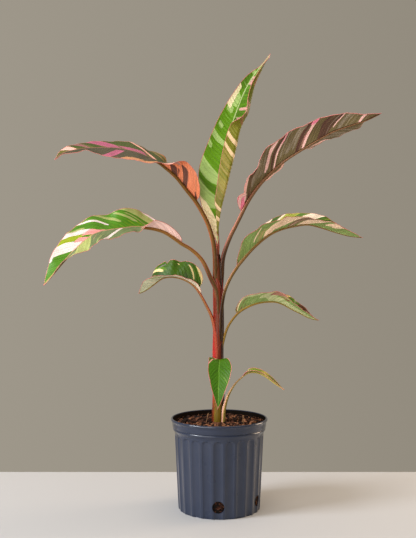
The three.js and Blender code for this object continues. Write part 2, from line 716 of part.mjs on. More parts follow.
// A leaf's stalk and rib as one tube. Under the blade it keeps clear of both halves.
function buildStalk(leaf) {
  const rib = route(leaf.rib);
  const stalk = route(leaf.stalk);
  const side = sideOf(leaf);
  const [thick, thin] = leaf.thick;
  const centres = [];
  const radii = [];
  const under = (t, radius) => {
    const { middle, far, near } = spread(leaf, t);
    const open = near.start - far.start;
    const inner = open > 180 ? Math.sin(rad((360 - open) / 2)) : 1;
    const reach = (radius + BLADE / 2 + SEAT) / inner;
    const { up, front } = across(rib, t, side);
    const turn = rad(middle);
    return up.multiplyScalar(-Math.cos(turn) * reach).addScaledVector(front, -Math.sin(turn) * reach);
  };
  for (let i = 0; i < STALK_RINGS; i++) {
    const s = i / STALK_RINGS;
    const lowered = smooth(past(s, STALK_UNDER_FROM));
    centres.push(stalk.getPointAt(s).addScaledVector(under(0, thin), lowered));
    radii.push(mix(thick, thin, smooth(past(s, STALK_THICK_UNTIL))));
  }
  for (let i = 0; i <= RIB_RINGS; i++) {
    const t = i / STATIONS;
    const radius = mix(thin, RIB_TIP_RADIUS, t ** RIB_TAPER);
    centres.push(rib.getPointAt(t).add(under(t, radius)));
    radii.push(radius);
  }
  return tube(centres, radii, STALK_SIDES);
}

function buildStem() {
  const centres = STEM_AXIS.map(([x, y, z]) => new THREE.Vector3(x, y, z));
  let stem = tube(centres, STEM_AXIS.map((row) => row[3]), STEM_SIDES);
  for (const leaf of LEAVES) stem = stem.add(buildStalk(leaf));
  return geometryFrom(stem);
}

// The whole plant in its pot.
const plant = new THREE.Group();
plant.add(meshOf("pot", buildPot(), "#4a4f60", 0.55));
plant.add(meshOf("soil", buildSoil(), "#4a3226", 0.95));
plant.add(meshOf("stem", buildStem(), "#7a4a2e", 0.5));
for (const leaf of LEAVES) plant.add(meshOf(leaf.name, buildBlade(leaf), leaf.color, 0.45));

export default plant;
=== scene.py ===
"""A young variegated pink banana plant in a plain one-gallon nursery pot.

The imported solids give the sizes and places, and each gets a finely modelled piece with its own finish.
Metres, +Z up. The origin is on the pot's axis, on the floor, and the front of the plant faces -Y.
"""

import logging
import math
import random
from collections.abc import Sequence
from dataclasses import dataclass
from enum import Enum
from typing import Any

import bmesh
import bpy
import numpy as np
from mathutils import Matrix, Vector, noise


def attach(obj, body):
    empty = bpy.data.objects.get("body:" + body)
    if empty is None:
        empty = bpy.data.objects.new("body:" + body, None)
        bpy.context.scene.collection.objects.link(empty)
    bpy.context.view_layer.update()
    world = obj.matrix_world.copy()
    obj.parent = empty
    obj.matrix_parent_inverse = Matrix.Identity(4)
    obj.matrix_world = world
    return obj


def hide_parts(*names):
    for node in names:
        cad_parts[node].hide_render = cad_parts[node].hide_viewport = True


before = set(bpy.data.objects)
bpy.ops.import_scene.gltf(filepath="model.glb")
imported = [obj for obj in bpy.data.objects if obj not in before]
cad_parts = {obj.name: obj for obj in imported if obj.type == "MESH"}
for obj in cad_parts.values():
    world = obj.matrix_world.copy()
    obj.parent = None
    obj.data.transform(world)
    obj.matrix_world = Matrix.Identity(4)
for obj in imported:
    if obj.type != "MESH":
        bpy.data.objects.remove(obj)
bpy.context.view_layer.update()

LOG = logging.getLogger("plant")
Point = tuple[float, float, float]

# A chip's place, its size, and its shade from 0, dark, to 1, fresh.
Chip = tuple[Point, Point, float]

FRONT = np.array([0.0, -1.0, 0.0])
GOLDEN_ANGLE = 2.39996
MIX_COLOURS = {"output": 2, "data_type": "RGBA"}


def smooth(x: Any) -> Any:
    """Rises smoothly from 0 to 1 as x does, and stays level outside."""
    held = np.clip(x, 0.0, 1.0)
    return held * held * (3 - 2 * held)


def mix(a: Any, b: Any, share: Any) -> Any:
    """The value that lies at share of the way from a to b."""
    return a + (b - a) * share


def read(rows: Sequence[Sequence[float]], column: int, t: float, missing: float = 0.0) -> float:
    """Reads a column of a small table on a smooth line through its rows.

    Args:
        rows: The table, whose first column rises.
        column: The column to read.
        t: Where to read it.
        missing: The value of a row that has no such column.

    Returns:
        The value at t.
    """
    values = [row[column] if column < len(row) else missing for row in rows]
    places = [row[0] for row in rows]
    if t <= places[0]:
        return values[0]
    if t >= places[-1]:
        return values[-1]
    i = max(j for j in range(len(places) - 1) if places[j] <= t)

    def slope(j: int) -> float:
        """The line's slope at row j."""
        a, b = max(j - 1, 0), min(j + 1, len(places) - 1)
        return (values[b] - values[a]) / (places[b] - places[a])

    step = places[i + 1] - places[i]
    w = (t - places[i]) / step
    return (
        (2 * w**3 - 3 * w**2 + 1) * values[i]
        + (w**3 - 2 * w**2 + w) * slope(i) * step
        + (3 * w**2 - 2 * w**3) * values[i + 1]
        + (w**3 - w**2) * slope(i + 1) * step
    )


def linear(colour: str) -> tuple[float, float, float, float]:
    """Turns an sRGB hex colour to the linear one that a shader's socket takes."""
    channels = [int(colour[i : i + 2], 16) / 255 for i in (1, 3, 5)]
    return (*[c / 12.92 if c <= 0.04045 else ((c + 0.055) / 1.055) ** 2.4 for c in channels], 1.0)


def add(
    tree: Any, kind: str, inputs: dict | None = None, output: int | str | None = 0, **settings: Any
) -> Any:
    """Adds a node with its settings and links.

    Args:
        tree: The material's node tree.
        kind: The node's type.
        inputs: For each input, a value or another node's output.
        output: The output that is wanted, or None for all of them.
        **settings: The node's own settings.

    Returns:
        That output or all of them, or None for a node that has none.
    """
    made = tree.nodes.new(kind)
    for name, value in settings.items():
        setattr(made, name, value)
    for key, value in (inputs or {}).items():
        if isinstance(value, bpy.types.NodeSocket):
            tree.links.new(value, made.inputs[key])
        else:
            made.inputs[key].default_value = value
    if output is None:
        return tuple(made.outputs)
    return made.outputs[output] if made.outputs else None


def deselect() -> None:
    """Leaves every object unselected, as each piece's modelling starts."""
    if bpy.context.object and bpy.context.object.mode != "OBJECT":
        bpy.ops.object.mode_set(mode="OBJECT")
    bpy.ops.object.select_all(action="DESELECT")


def edit(piece: bpy.types.Object, mode: str = "VERT") -> None:
    """Opens a piece in edit mode with all of it selected."""
    deselect()
    bpy.context.view_layer.objects.active = piece
    piece.select_set(True)
    bpy.ops.object.mode_set(mode="EDIT")
    bpy.ops.mesh.select_mode(type=mode)
    bpy.ops.mesh.select_all(action="SELECT")


def apply(piece: bpy.types.Object, kind: str, **settings: Any) -> None:
    """Gives a piece a modifier with these settings and applies it."""
    modifier = piece.modifiers.new(kind.title(), kind)
    for name, value in settings.items():
        setattr(modifier, name, value)
    bpy.context.view_layer.objects.active = piece
    bpy.ops.object.modifier_apply(modifier=modifier.name)


def give(piece: bpy.types.Object, name: str, values: np.ndarray) -> None:
    """Stores a vector for each vertex of a piece under this name, for its material to read."""
    layer = piece.data.attributes.new(name, "FLOAT_VECTOR", "POINT")
    layer.data.foreach_set("vector", np.ascontiguousarray(values, np.float32).ravel())


def grid_surface(name: str, points: np.ndarray, values: dict[str, np.ndarray]) -> bpy.types.Object:
    """Models a sheet from a flat grid, each of whose vertices is moved to its place.

    Args:
        name: The piece's name.
        points: Rows by columns by three, the place of each vertex.
        values: Vectors for the vertices, each rows by columns by three, by name.

    Returns:
        The new piece.
    """
    rows, columns = points.shape[:2]
    deselect()
    bpy.ops.mesh.primitive_grid_add(x_subdivisions=columns - 1, y_subdivisions=rows - 1, size=1)
    piece = bpy.context.object
    piece.name = name
    flat = np.zeros(len(piece.data.vertices) * 3)
    piece.data.vertices.foreach_get("co", flat)
    flat = flat.reshape(-1, 3)
    column = np.rint((flat[:, 0] + 0.5) * (columns - 1)).astype(int)
    row = np.rint((flat[:, 1] + 0.5) * (rows - 1)).astype(int)
    piece.data.vertices.foreach_set("co", points[row, column].ravel())
    for key, value in values.items():
        give(piece, key, value[row, column])
    piece.data.update()
    return piece


def tube_surface(name: str, points: np.ndarray, values: dict[str, np.ndarray]) -> bpy.types.Object:
    """Models a closed skin from a grid whose first and last columns meet and whose end rows are points."""
    piece = grid_surface(name, points, values)
    edit(piece)
    bpy.ops.mesh.remove_doubles(threshold=1e-6)
    bpy.ops.mesh.normals_make_consistent(inside=False)
    bpy.ops.object.mode_set(mode="OBJECT")
    return piece


def finish(piece: bpy.types.Object, slot: str, *nodes: str) -> None:
    """Rides a finished piece on the plant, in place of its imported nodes, and reports it."""
    deselect()
    piece.select_set(True)
    bpy.context.view_layer.objects.active = piece
    bpy.ops.object.shade_smooth_by_angle(angle=math.radians(40))
    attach(piece, "root")
    if nodes:
        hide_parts(*nodes)
    LOG.info("%s: %d faces", piece.name, len(piece.data.polygons))


class Tone(Enum):
    """The colours that a blade's patches take. Each is one channel of the blade's paint."""

    CREAM = 0
    PINK = 1
    DEEP = 2
    PALE = 3
    # Painted shade with a grey painted sheen, for a half that droops and faces down.
    DULL = 4


class Finish:
    """What the finishes share: each is one material with one shader, whose inputs it works out itself."""

    name: str

    def inputs(self, tree: Any) -> dict[str, Any]:
        """The shader's inputs, by name."""
        raise NotImplementedError

    def build(self) -> bpy.types.Material:
        """Makes the finish's material."""
        material = bpy.data.materials.new(self.name)
        material.use_nodes = True
        tree = material.node_tree
        tree.nodes.clear()
        shader = add(tree, "ShaderNodeBsdfPrincipled", self.inputs(tree))
        add(tree, "ShaderNodeOutputMaterial", {"Surface": shader})
        return material


@dataclass(frozen=True)
class MouldedPolypropylene(Finish):
    """Injection-moulded polypropylene: satin under a clear gloss, with a fine die grain, a little dust in
    faint clouds, and a dull brown stain inside the lip, above the potting mix, partly a soil stain and partly
    painted shade."""

    name: str = "moulded_polypropylene"
    colour: str = "#1f293f"
    dusty: str = "#363c4c"
    stain_and_shade: str = "#15100c"
    grain: float = 0.0009
    cloud: float = 0.03
    roughness: float = 0.3
    gloss: float = 0.18

    def inputs(self, tree: Any) -> dict[str, Any]:
        """Works out a slow cloudiness of the colour, a grain that only breaks up the gloss, and the stain,
        which is also painted shade.
        """
        place = add(tree, "ShaderNodeTexCoord", output="Object")
        cloud = add(tree, "ShaderNodeTexNoise", {"Vector": place, "Scale": 1 / self.cloud, "Detail": 4.0})
        dust = add(tree, "ShaderNodeMapRange", {0: cloud, 1: 0.45, 2: 0.8, 3: 0.0, 4: 0.3})
        # This mask marks the wall inside the lip: a soil stain together with painted shade under the lip,
        # dark brown, rough and without the coat.
        soiled_and_shaded = add(tree, "ShaderNodeAttribute", output="Fac", attribute_name="soiled_and_shaded")
        colour = linear(self.colour)
        for share, tone in ((dust, self.dusty), (soiled_and_shaded, self.stain_and_shade)):
            colour = add(tree, "ShaderNodeMix", {0: share, 6: colour, 7: linear(tone)}, **MIX_COLOURS)
        grain = add(tree, "ShaderNodeTexNoise", {"Vector": place, "Scale": 1 / self.grain, "Detail": 2.0})
        low, high = self.roughness - 0.04, self.roughness + 0.06
        clean = add(tree, "ShaderNodeMapRange", {0: cloud, 1: 0.3, 2: 0.7, 3: low, 4: high})
        return {
            "Base Color": colour,
            "Roughness": add(tree, "ShaderNodeMapRange", {0: soiled_and_shaded, 3: clean, 4: 0.9}),
            "Specular IOR Level": add(tree, "ShaderNodeMapRange", {0: soiled_and_shaded, 3: 0.12, 4: 0.02}),
            "IOR": 1.49,
            "Coat Weight": add(tree, "ShaderNodeMapRange", {0: soiled_and_shaded, 2: 0.2, 3: 1.0, 4: 0.0}),
            "Coat Roughness": self.gloss,
            "Normal": add(tree, "ShaderNodeBump", {"Strength": 0.12, "Distance": 0.0003, "Height": grain}),
        }


@dataclass(frozen=True)
class GroundBark(Finish):
    """Composted pine bark: dull chips from near black to fresh orange-brown, with a coarse broken grain."""

    name: str
    dark: str
    middle: str
    light: str
    grain: float = 0.0011
    roughness: float = 0.85

    def inputs(self, tree: Any) -> dict[str, Any]:
        """Works out each chip's own shade from its paint, broken up by the grain."""
        place = add(tree, "ShaderNodeTexCoord", output="Object")
        spread = {"Vector": place, "Scale": 1 / self.grain, "Detail": 5.0, "Roughness": 0.65}
        grain = add(tree, "ShaderNodeTexNoise", spread)
        paint = add(tree, "ShaderNodeAttribute", output="Vector", attribute_name="shade")
        shade = add(tree, "ShaderNodeSeparateXYZ", {0: paint})
        broken = add(tree, "ShaderNodeMapRange", {0: grain, 1: 0.3, 2: 0.7, 3: -0.22, 4: 0.22})
        level = add(tree, "ShaderNodeMath", {0: shade, 1: broken}, operation="ADD", use_clamp=True)
        colour = linear(self.dark)
        for start, tone in ((0.0, self.middle), (0.5, self.light)):
            share = add(tree, "ShaderNodeMapRange", {0: level, 1: start, 2: start + 0.5})
            colour = add(tree, "ShaderNodeMix", {0: share, 6: colour, 7: linear(tone)}, **MIX_COLOURS)
        return {
            "Base Color": colour,
            "Roughness": self.roughness,
            "Specular IOR Level": 0.2,
            "Normal": add(tree, "ShaderNodeBump", {"Strength": 0.8, "Distance": 0.0006, "Height": grain}),
        }


@dataclass(frozen=True)
class StalkSkin(Finish):
    """The waxy skin of a banana's stalk: fine lengthwise streaks, and thin coloured lips along its edges."""

    name: str
    colour: str
    flush: str
    lip: str
    shadow: str = "#220c05"
    gold: str = "#80681a"
    streak: float = 0.0011
    roughness: float = 0.36

    def inputs(self, tree: Any) -> dict[str, Any]:
        """Lays the flush, the young gold, the dark and the lips over the skin, broken up by the streaks.

        The paint's x is the flush, partly painted light on the lit side, its y how near a lip is and its z
        how dark it is, partly painted shade on the shaded side. The skin's z is how young it is.
        """
        skin = add(tree, "ShaderNodeAttribute", output="Vector", attribute_name="skin")
        paint = add(tree, "ShaderNodeAttribute", output="Vector", attribute_name="paint")
        young = add(tree, "ShaderNodeSeparateXYZ", {0: skin}, output=2)
        flush, lip, dark = add(tree, "ShaderNodeSeparateXYZ", {0: paint}, output=None)
        around = add(tree, "ShaderNodeVectorMath", {0: skin, 1: (1, 0.05, 0)}, operation="MULTIPLY")
        spread = {"Vector": around, "Scale": 1 / self.streak, "Detail": 3.0, "Roughness": 0.6}
        streak = add(tree, "ShaderNodeTexNoise", spread)
        drift = add(tree, "ShaderNodeMapRange", {0: streak, 1: 0.3, 2: 0.7, 3: -0.3, 4: 0.3})
        flush, dark = (
            add(tree, "ShaderNodeMath", {0: part, 1: drift}, operation="ADD", use_clamp=True)
            for part in (flush, dark)
        )
        colour = linear(self.colour)
        layers = ((flush, self.flush), (young, self.gold), (dark, self.shadow), (lip, self.lip))
        for share, tone in layers:
            colour = add(tree, "ShaderNodeMix", {0: share, 6: colour, 7: linear(tone)}, **MIX_COLOURS)
        return {
            "Base Color": colour,
            "Roughness": self.roughness,
            "Specular IOR Level": 0.2,
            "Normal": add(tree, "ShaderNodeBump", {"Strength": 0.25, "Distance": 0.0003, "Height": streak}),
        }


@dataclass(frozen=True)
class BladeSkin(Finish):
    """One face of a variegated banana blade: green laid in streaks along its side veins, with cream and
    pink where the green is missing, and a thin coloured margin."""

    name: str
    green: str = "#4f8a26"
    pale: str = "#a6bc70"
    cream: str = "#efe2c4"
    pink: str = "#e08a8c"
    deep: str = "#35641c"
    # The dull tone is painted shade with a grey painted sheen, for halves that droop and face down.
    dull_shade: str = "#6a7850"
    rib: str = "#b9c98a"
    margin: str = "#cf7670"
    patch: float = 0.0065
    reach: float = 0.05
    vein: float = 0.0038
    rib_width: float = 0.0011
    margin_width: float = 0.0009
    roughness: float = 0.42

    def streaks(self, tree: Any, veins: Any, offset: float, width: float, detail: float) -> Any:
        """Adds a noise that is drawn out along the side veins.

        Args:
            tree: The material's node tree.
            veins: The places along and across the veins.
            offset: Where in the noise this one starts, so that no two are alike.
            width: The width of a streak.
            detail: How finely its edges break up.

        Returns:
            The noise's output.
        """
        seed = sum(map(ord, self.name)) * 0.37
        scale, start = (1 / width, 1 / self.reach, 0), (offset, offset * 1.7, seed)
        scaled = add(
            tree, "ShaderNodeVectorMath", {0: veins, 1: scale, 2: start}, operation="MULTIPLY_ADD"
        )
        spread = {"Vector": scaled, "Scale": 1.0, "Detail": detail, "Roughness": 0.55}
        return add(tree, "ShaderNodeTexNoise", spread)

    def inputs(self, tree: Any) -> dict[str, Any]:
        """Lays each tone where its paint and its streaks together pass a threshold, then the rib and margin.

        The paint is how much cream, pink and deep green lies there. The edge is how far the rib and the
        margin are, and how much pale green there is. The veins' z is how much of the dull tone there is: a
        painted shade with a grey painted sheen, where a half droops and faces down.
        """
        paint, edge, veins = (
            add(tree, "ShaderNodeAttribute", output="Vector", attribute_name=name)
            for name in ("paint", "edge", "veins")
        )
        cream, pink, deep = add(tree, "ShaderNodeSeparateXYZ", {0: paint}, output=None)
        to_rib, to_margin, pale = add(tree, "ShaderNodeSeparateXYZ", {0: edge}, output=None)
        dull_shade = add(tree, "ShaderNodeSeparateXYZ", {0: veins}, output=2)
        layers = (
            (deep, self.deep, 0.1),
            (dull_shade, self.dull_shade, 0.1),
            (pale, self.pale, 0.1),
            (cream, self.cream, 0.06),
            (pink, self.pink, 0.14),
        )
        colour = linear(self.green)
        for i, (amount, tone, softness) in enumerate(layers):
            broken = self.streaks(tree, veins, 7.7 * i, self.patch, 2.0)
            wanted = add(tree, "ShaderNodeMath", {0: broken, 1: amount}, operation="ADD")
            edges = {0: wanted, 1: 1 - softness, 2: 1 + softness}
            share = add(tree, "ShaderNodeMapRange", edges, interpolation_type="SMOOTHSTEP")
            colour = add(tree, "ShaderNodeMix", {0: share, 6: colour, 7: linear(tone)}, **MIX_COLOURS)
        vein = self.streaks(tree, veins, 1.3, self.vein, 0.0)
        shade = add(tree, "ShaderNodeMapRange", {0: vein, 1: 0.3, 2: 0.7, 3: 0.87, 4: 1.1})
        colour = add(tree, "ShaderNodeVectorMath", {0: colour, 3: shade}, operation="SCALE")
        lines = ((to_rib, self.rib_width, self.rib), (to_margin, self.margin_width, self.margin))
        for away, width, tone in lines:
            share = add(tree, "ShaderNodeMapRange", {0: away, 1: width, 2: width * 0.5})
            colour = add(tree, "ShaderNodeMix", {0: share, 6: colour, 7: linear(tone)}, **MIX_COLOURS)
        return {
            "Base Color": colour,
            "Roughness": self.roughness,
            "Specular IOR Level": 0.25,
            "Normal": add(tree, "ShaderNodeBump", {"Strength": 0.1, "Distance": 0.0004, "Height": vein}),
        }


@dataclass(frozen=True)
class PaintedBoard(Finish):
    """The studio's matt painted floor board."""

    name: str = "painted_board"
    colour: str = "#bec0c3"

    def inputs(self, tree: Any) -> dict[str, Any]:
        """Works out a faint roller texture, which keeps the floor from looking like paper."""
        place = add(tree, "ShaderNodeTexCoord", output="Object")
        roller = add(tree, "ShaderNodeTexNoise", {"Vector": place, "Scale": 220.0, "Detail": 3.0})
        return {
            "Base Color": linear(self.colour),
            "Roughness": 0.7,
            "Normal": add(tree, "ShaderNodeBump", {"Strength": 0.08, "Distance": 0.0004, "Height": roller}),
        }


@dataclass(frozen=True)
class Studio:
    """A plain studio: a pale floor that ends against a warm grey, a large soft key light and three weaker
    lights."""

    eye: Point = (-0.0191, -1.377, 0.407)
    lens: float = 54.0
    floor_back: float = 0.241
    floor_size: float = 6.0
    wall_left: str = "#9e978a"
    wall_right: str = "#938c7f"

    def set_up(self) -> None:
        """Places the camera, the floor and the lights."""
        scene = bpy.context.scene
        scene.view_settings.view_transform = "Standard"
        camera_data = bpy.data.cameras.new("camera")
        camera_data.lens = self.lens
        camera = bpy.data.objects.new("camera", camera_data)
        camera.location = self.eye
        camera.rotation_euler = (math.pi / 2, 0, 0)
        scene.collection.objects.link(camera)
        scene.camera = camera

        world = bpy.data.worlds.new("studio")
        world.use_nodes = True
        tree = world.node_tree
        way = add(tree, "ShaderNodeTexCoord", output="Generated")
        across = add(tree, "ShaderNodeSeparateXYZ", {0: way})
        share = add(tree, "ShaderNodeMapRange", {0: across, 1: -0.25, 2: 0.25})
        sides = {0: share, 6: linear(self.wall_left), 7: linear(self.wall_right)}
        colour = add(tree, "ShaderNodeMix", sides, **MIX_COLOURS)
        tree.links.new(colour, tree.nodes["Background"].inputs["Color"])
        scene.world = world

        deselect()
        middle = self.floor_back - self.floor_size / 2
        bpy.ops.mesh.primitive_plane_add(size=self.floor_size, location=(0, middle, 0))
        floor = bpy.context.object
        floor.name = "floor"
        bpy.ops.object.transform_apply(location=True)
        floor.data.materials.append(PaintedBoard().build())

        self.light("key", (-3.0, -1.3, 2.3), 1.3, 142.0, "#f8faff")
        self.light("front", (-1.2, -2.05, 0.5), 1.6, 34.0, "#fffcf6")
        self.light("side", (1.5, 0.5, 0.6), 0.6, 14.0, "#ffe2c6")
        self.light("top", (0.2, 0.1, 2.2), 1.8, 20.0, "#ffe4c8")

    def light(self, name: str, place: Point, size: float, power: float, colour: str) -> None:
        """Hangs one soft light that faces the plant.

        Args:
            name: The light's name.
            place: Where it hangs.
            size: The side of its square face.
            power: Its power in watts.
            colour: The colour of its light.
        """
        data = bpy.data.lights.new(name, "AREA")
        data.size = size
        data.energy = power
        data.color = linear(colour)[:3]
        lamp = bpy.data.objects.new(name, data)
        lamp.location = place
        aim = Vector((0, 0, 0.35)) - Vector(place)
        lamp.rotation_euler = aim.to_track_quat("-Z", "Y").to_euler()
        bpy.context.scene.collection.objects.link(lamp)


@dataclass(frozen=True)
class NurseryPot:
    """The moulded pot: a rolled lip, a plain collar and shallow hollow flutes pressed all round the wall.

    The rings of its wall are heights. Those of its collar and lip say how far they lie in from the rim and
    down from the top, on past the lip to the ledge inside it, and so does the ledge's own place.
    """

    height: float = 0.154
    rim: float = 0.0825
    collar_step: float = 0.0068
    foot: float = 0.0695
    wall: float = 0.0016
    floor: float = 0.0025
    flutes: int = 24
    flute_share: float = 0.78
    flute_turn: float = -2.0
    flute_depth: float = 0.0022
    flute_top: float = 0.128
    flute_corner: float = 0.007
    drains: tuple[float, ...] = (-2.0, 67.0, 178.0, 253.0)
    drain_radius: float = 0.010
    drain_height: float = 0.020
    steps: int = 28
    foot_rings: tuple[tuple[float, float], ...] = ((0.0022, 0.0), (0.0006, 0.0006), (0.0001, 0.0022))
    wall_rings: tuple[float, ...] = (
        0.0045, 0.008, 0.013, 0.02, 0.03, 0.045, 0.06, 0.08, 0.1, 0.112, 0.116, 0.1185, 0.1205, 0.1222,
        0.1237, 0.125, 0.1261, 0.127, 0.1278, 0.1285, 0.1305,
    )
    collar_rings: tuple[tuple[float, float], ...] = (
        (0.0049, 0.0205), (0.0040, 0.0192), (0.0037, 0.0178), (0.0040, 0.0168), (0.0046, 0.0162),
        (0.0045, 0.0155), (0.0032, 0.0148), (0.0028, 0.0135), (0.0024, 0.0085), (0.0021, 0.0052),
        (0.0014, 0.0044), (0.0003, 0.0036), (0.0, 0.0024), (0.0003, 0.0012), (0.0010, 0.0003),
        (0.0020, 0.0), (0.0030, 0.0004), (0.0037, 0.0014), (0.0040, 0.0070), (0.0046, 0.0082),
        (0.0064, 0.0086),
    )
    inner_rings: tuple[float, ...] = (0.128, 0.1, 0.06, 0.03, 0.0045)
    lip_width: float = 0.0032
    ledge: tuple[float, float] = (0.0053, 0.0080)
    # Above this height inside the lip the wall is painted dark brown: stain and painted shade.
    stain_and_shade_height: float = 0.140

    @property
    def slope(self) -> float:
        """How much the wall's radius grows for each metre of height."""
        return (self.rim - self.collar_step - self.foot) / self.flute_top

    def outside(self, z: float) -> float:
        """The wall's outer radius at a height under the collar."""
        return self.foot + self.slope * z

    def inside(self, z: float) -> float:
        """The wall's inner radius at a height under the collar."""
        return self.foot - self.wall - self.flute_depth + self.slope * z

    def outline(self) -> list[tuple[float, float]]:
        """Radius and height up the outside, over the lip and down the inside to the floor's edge."""
        foot = [(self.foot - inset, z) for inset, z in self.foot_rings]
        wall = [(self.outside(z), z) for z in self.wall_rings]
        collar = [(self.rim - inset, self.height - drop) for inset, drop in self.collar_rings]
        shaft = [(self.inside(z), z) for z in self.inner_rings]
        return foot + wall + collar + shaft + [(shaft[-1][0] - 0.002, self.floor)]

    def pressed(self, angle: float, z: float) -> float:
        """How far the wall is hollowed at a turn and height, as a share of the flutes' depth."""
        pitch = 360 / self.flutes
        turn = (math.degrees(angle) + 90 - self.flute_turn + pitch / 2) % pitch - pitch / 2
        across = abs(turn) / (pitch * self.flute_share / 2)
        if across >= 1:
            return 0.0
        top = self.flute_top - self.flute_corner * (1 - math.sqrt(1 - across**2.5))
        hollow = (1 - across**2) ** 0.7
        return float(hollow * smooth((top - z) / 0.002))

    def model(self) -> bpy.types.Object:
        """Extrudes a disc along the outline, presses the flutes in and drills the drain holes."""
        outline = self.outline()
        radius, height = outline[0]
        deselect()
        bpy.ops.mesh.primitive_circle_add(
            vertices=self.flutes * self.steps, radius=radius, fill_type="NGON", location=(0, 0, 0)
        )
        pot = bpy.context.object
        pot.name = "nursery_pot"
        edit(pot, "FACE")
        for next_radius, next_height in outline[1:]:
            rise = (0, 0, next_height - height)
            bpy.ops.mesh.extrude_region_move(TRANSFORM_OT_translate={"value": rise})
            grow = next_radius / radius
            bpy.ops.transform.resize(value=(grow, grow, 1), center_override=(0, 0, next_height))
            radius, height = next_radius, next_height
        bpy.ops.mesh.select_all(action="SELECT")
        bpy.ops.mesh.normals_make_consistent(inside=False)
        bpy.ops.object.mode_set(mode="OBJECT")
        self.press_flutes(pot)
        self.drill(pot)
        self.stain_and_shade_inside(pot)
        pot.data.materials.append(MouldedPolypropylene().build())
        return pot

    def press_flutes(self, pot: bpy.types.Object) -> None:
        """Hollows the outer wall along the flutes."""
        for vertex in pot.data.vertices:
            reach = math.hypot(vertex.co.x, vertex.co.y)
            inner = reach < self.outside(vertex.co.z) - self.wall
            if inner or vertex.co.z > self.flute_top + 0.003:
                continue
            angle = math.atan2(vertex.co.y, vertex.co.x)
            held = 1 - self.flute_depth * self.pressed(angle, vertex.co.z) / reach
            vertex.co.x *= held
            vertex.co.y *= held
        pot.data.update()

    def drill(self, pot: bpy.types.Object) -> None:
        """Cuts the round drain holes through the wall near the foot."""
        for drain in self.drains:
            turn = math.radians(drain - 90)
            deselect()
            bpy.ops.mesh.primitive_cylinder_add(
                vertices=48,
                radius=self.drain_radius,
                depth=0.02,
                location=(self.foot * math.cos(turn), self.foot * math.sin(turn), self.drain_height),
                rotation=(math.pi / 2, 0, turn + math.pi / 2),
            )
            drill = bpy.context.object
            apply(pot, "BOOLEAN", object=drill, operation="DIFFERENCE", solver="EXACT")
            bpy.data.objects.remove(drill, do_unlink=True)

    def stain_and_shade_inside(self, pot: bpy.types.Object) -> None:
        """Paints the wall inside the lip dark brown: a soil stain, and painted shade under the lip. It comes
        after the drilling, which drops paint.
        """
        stained = []
        for vertex in pot.data.vertices:
            reach = math.hypot(vertex.co.x, vertex.co.y)
            stained.append(float(reach < self.rim - self.lip_width and vertex.co.z > self.stain_and_shade_height))
        give(pot, "soiled_and_shaded", np.repeat(np.array(stained)[:, None], 3, axis=1))


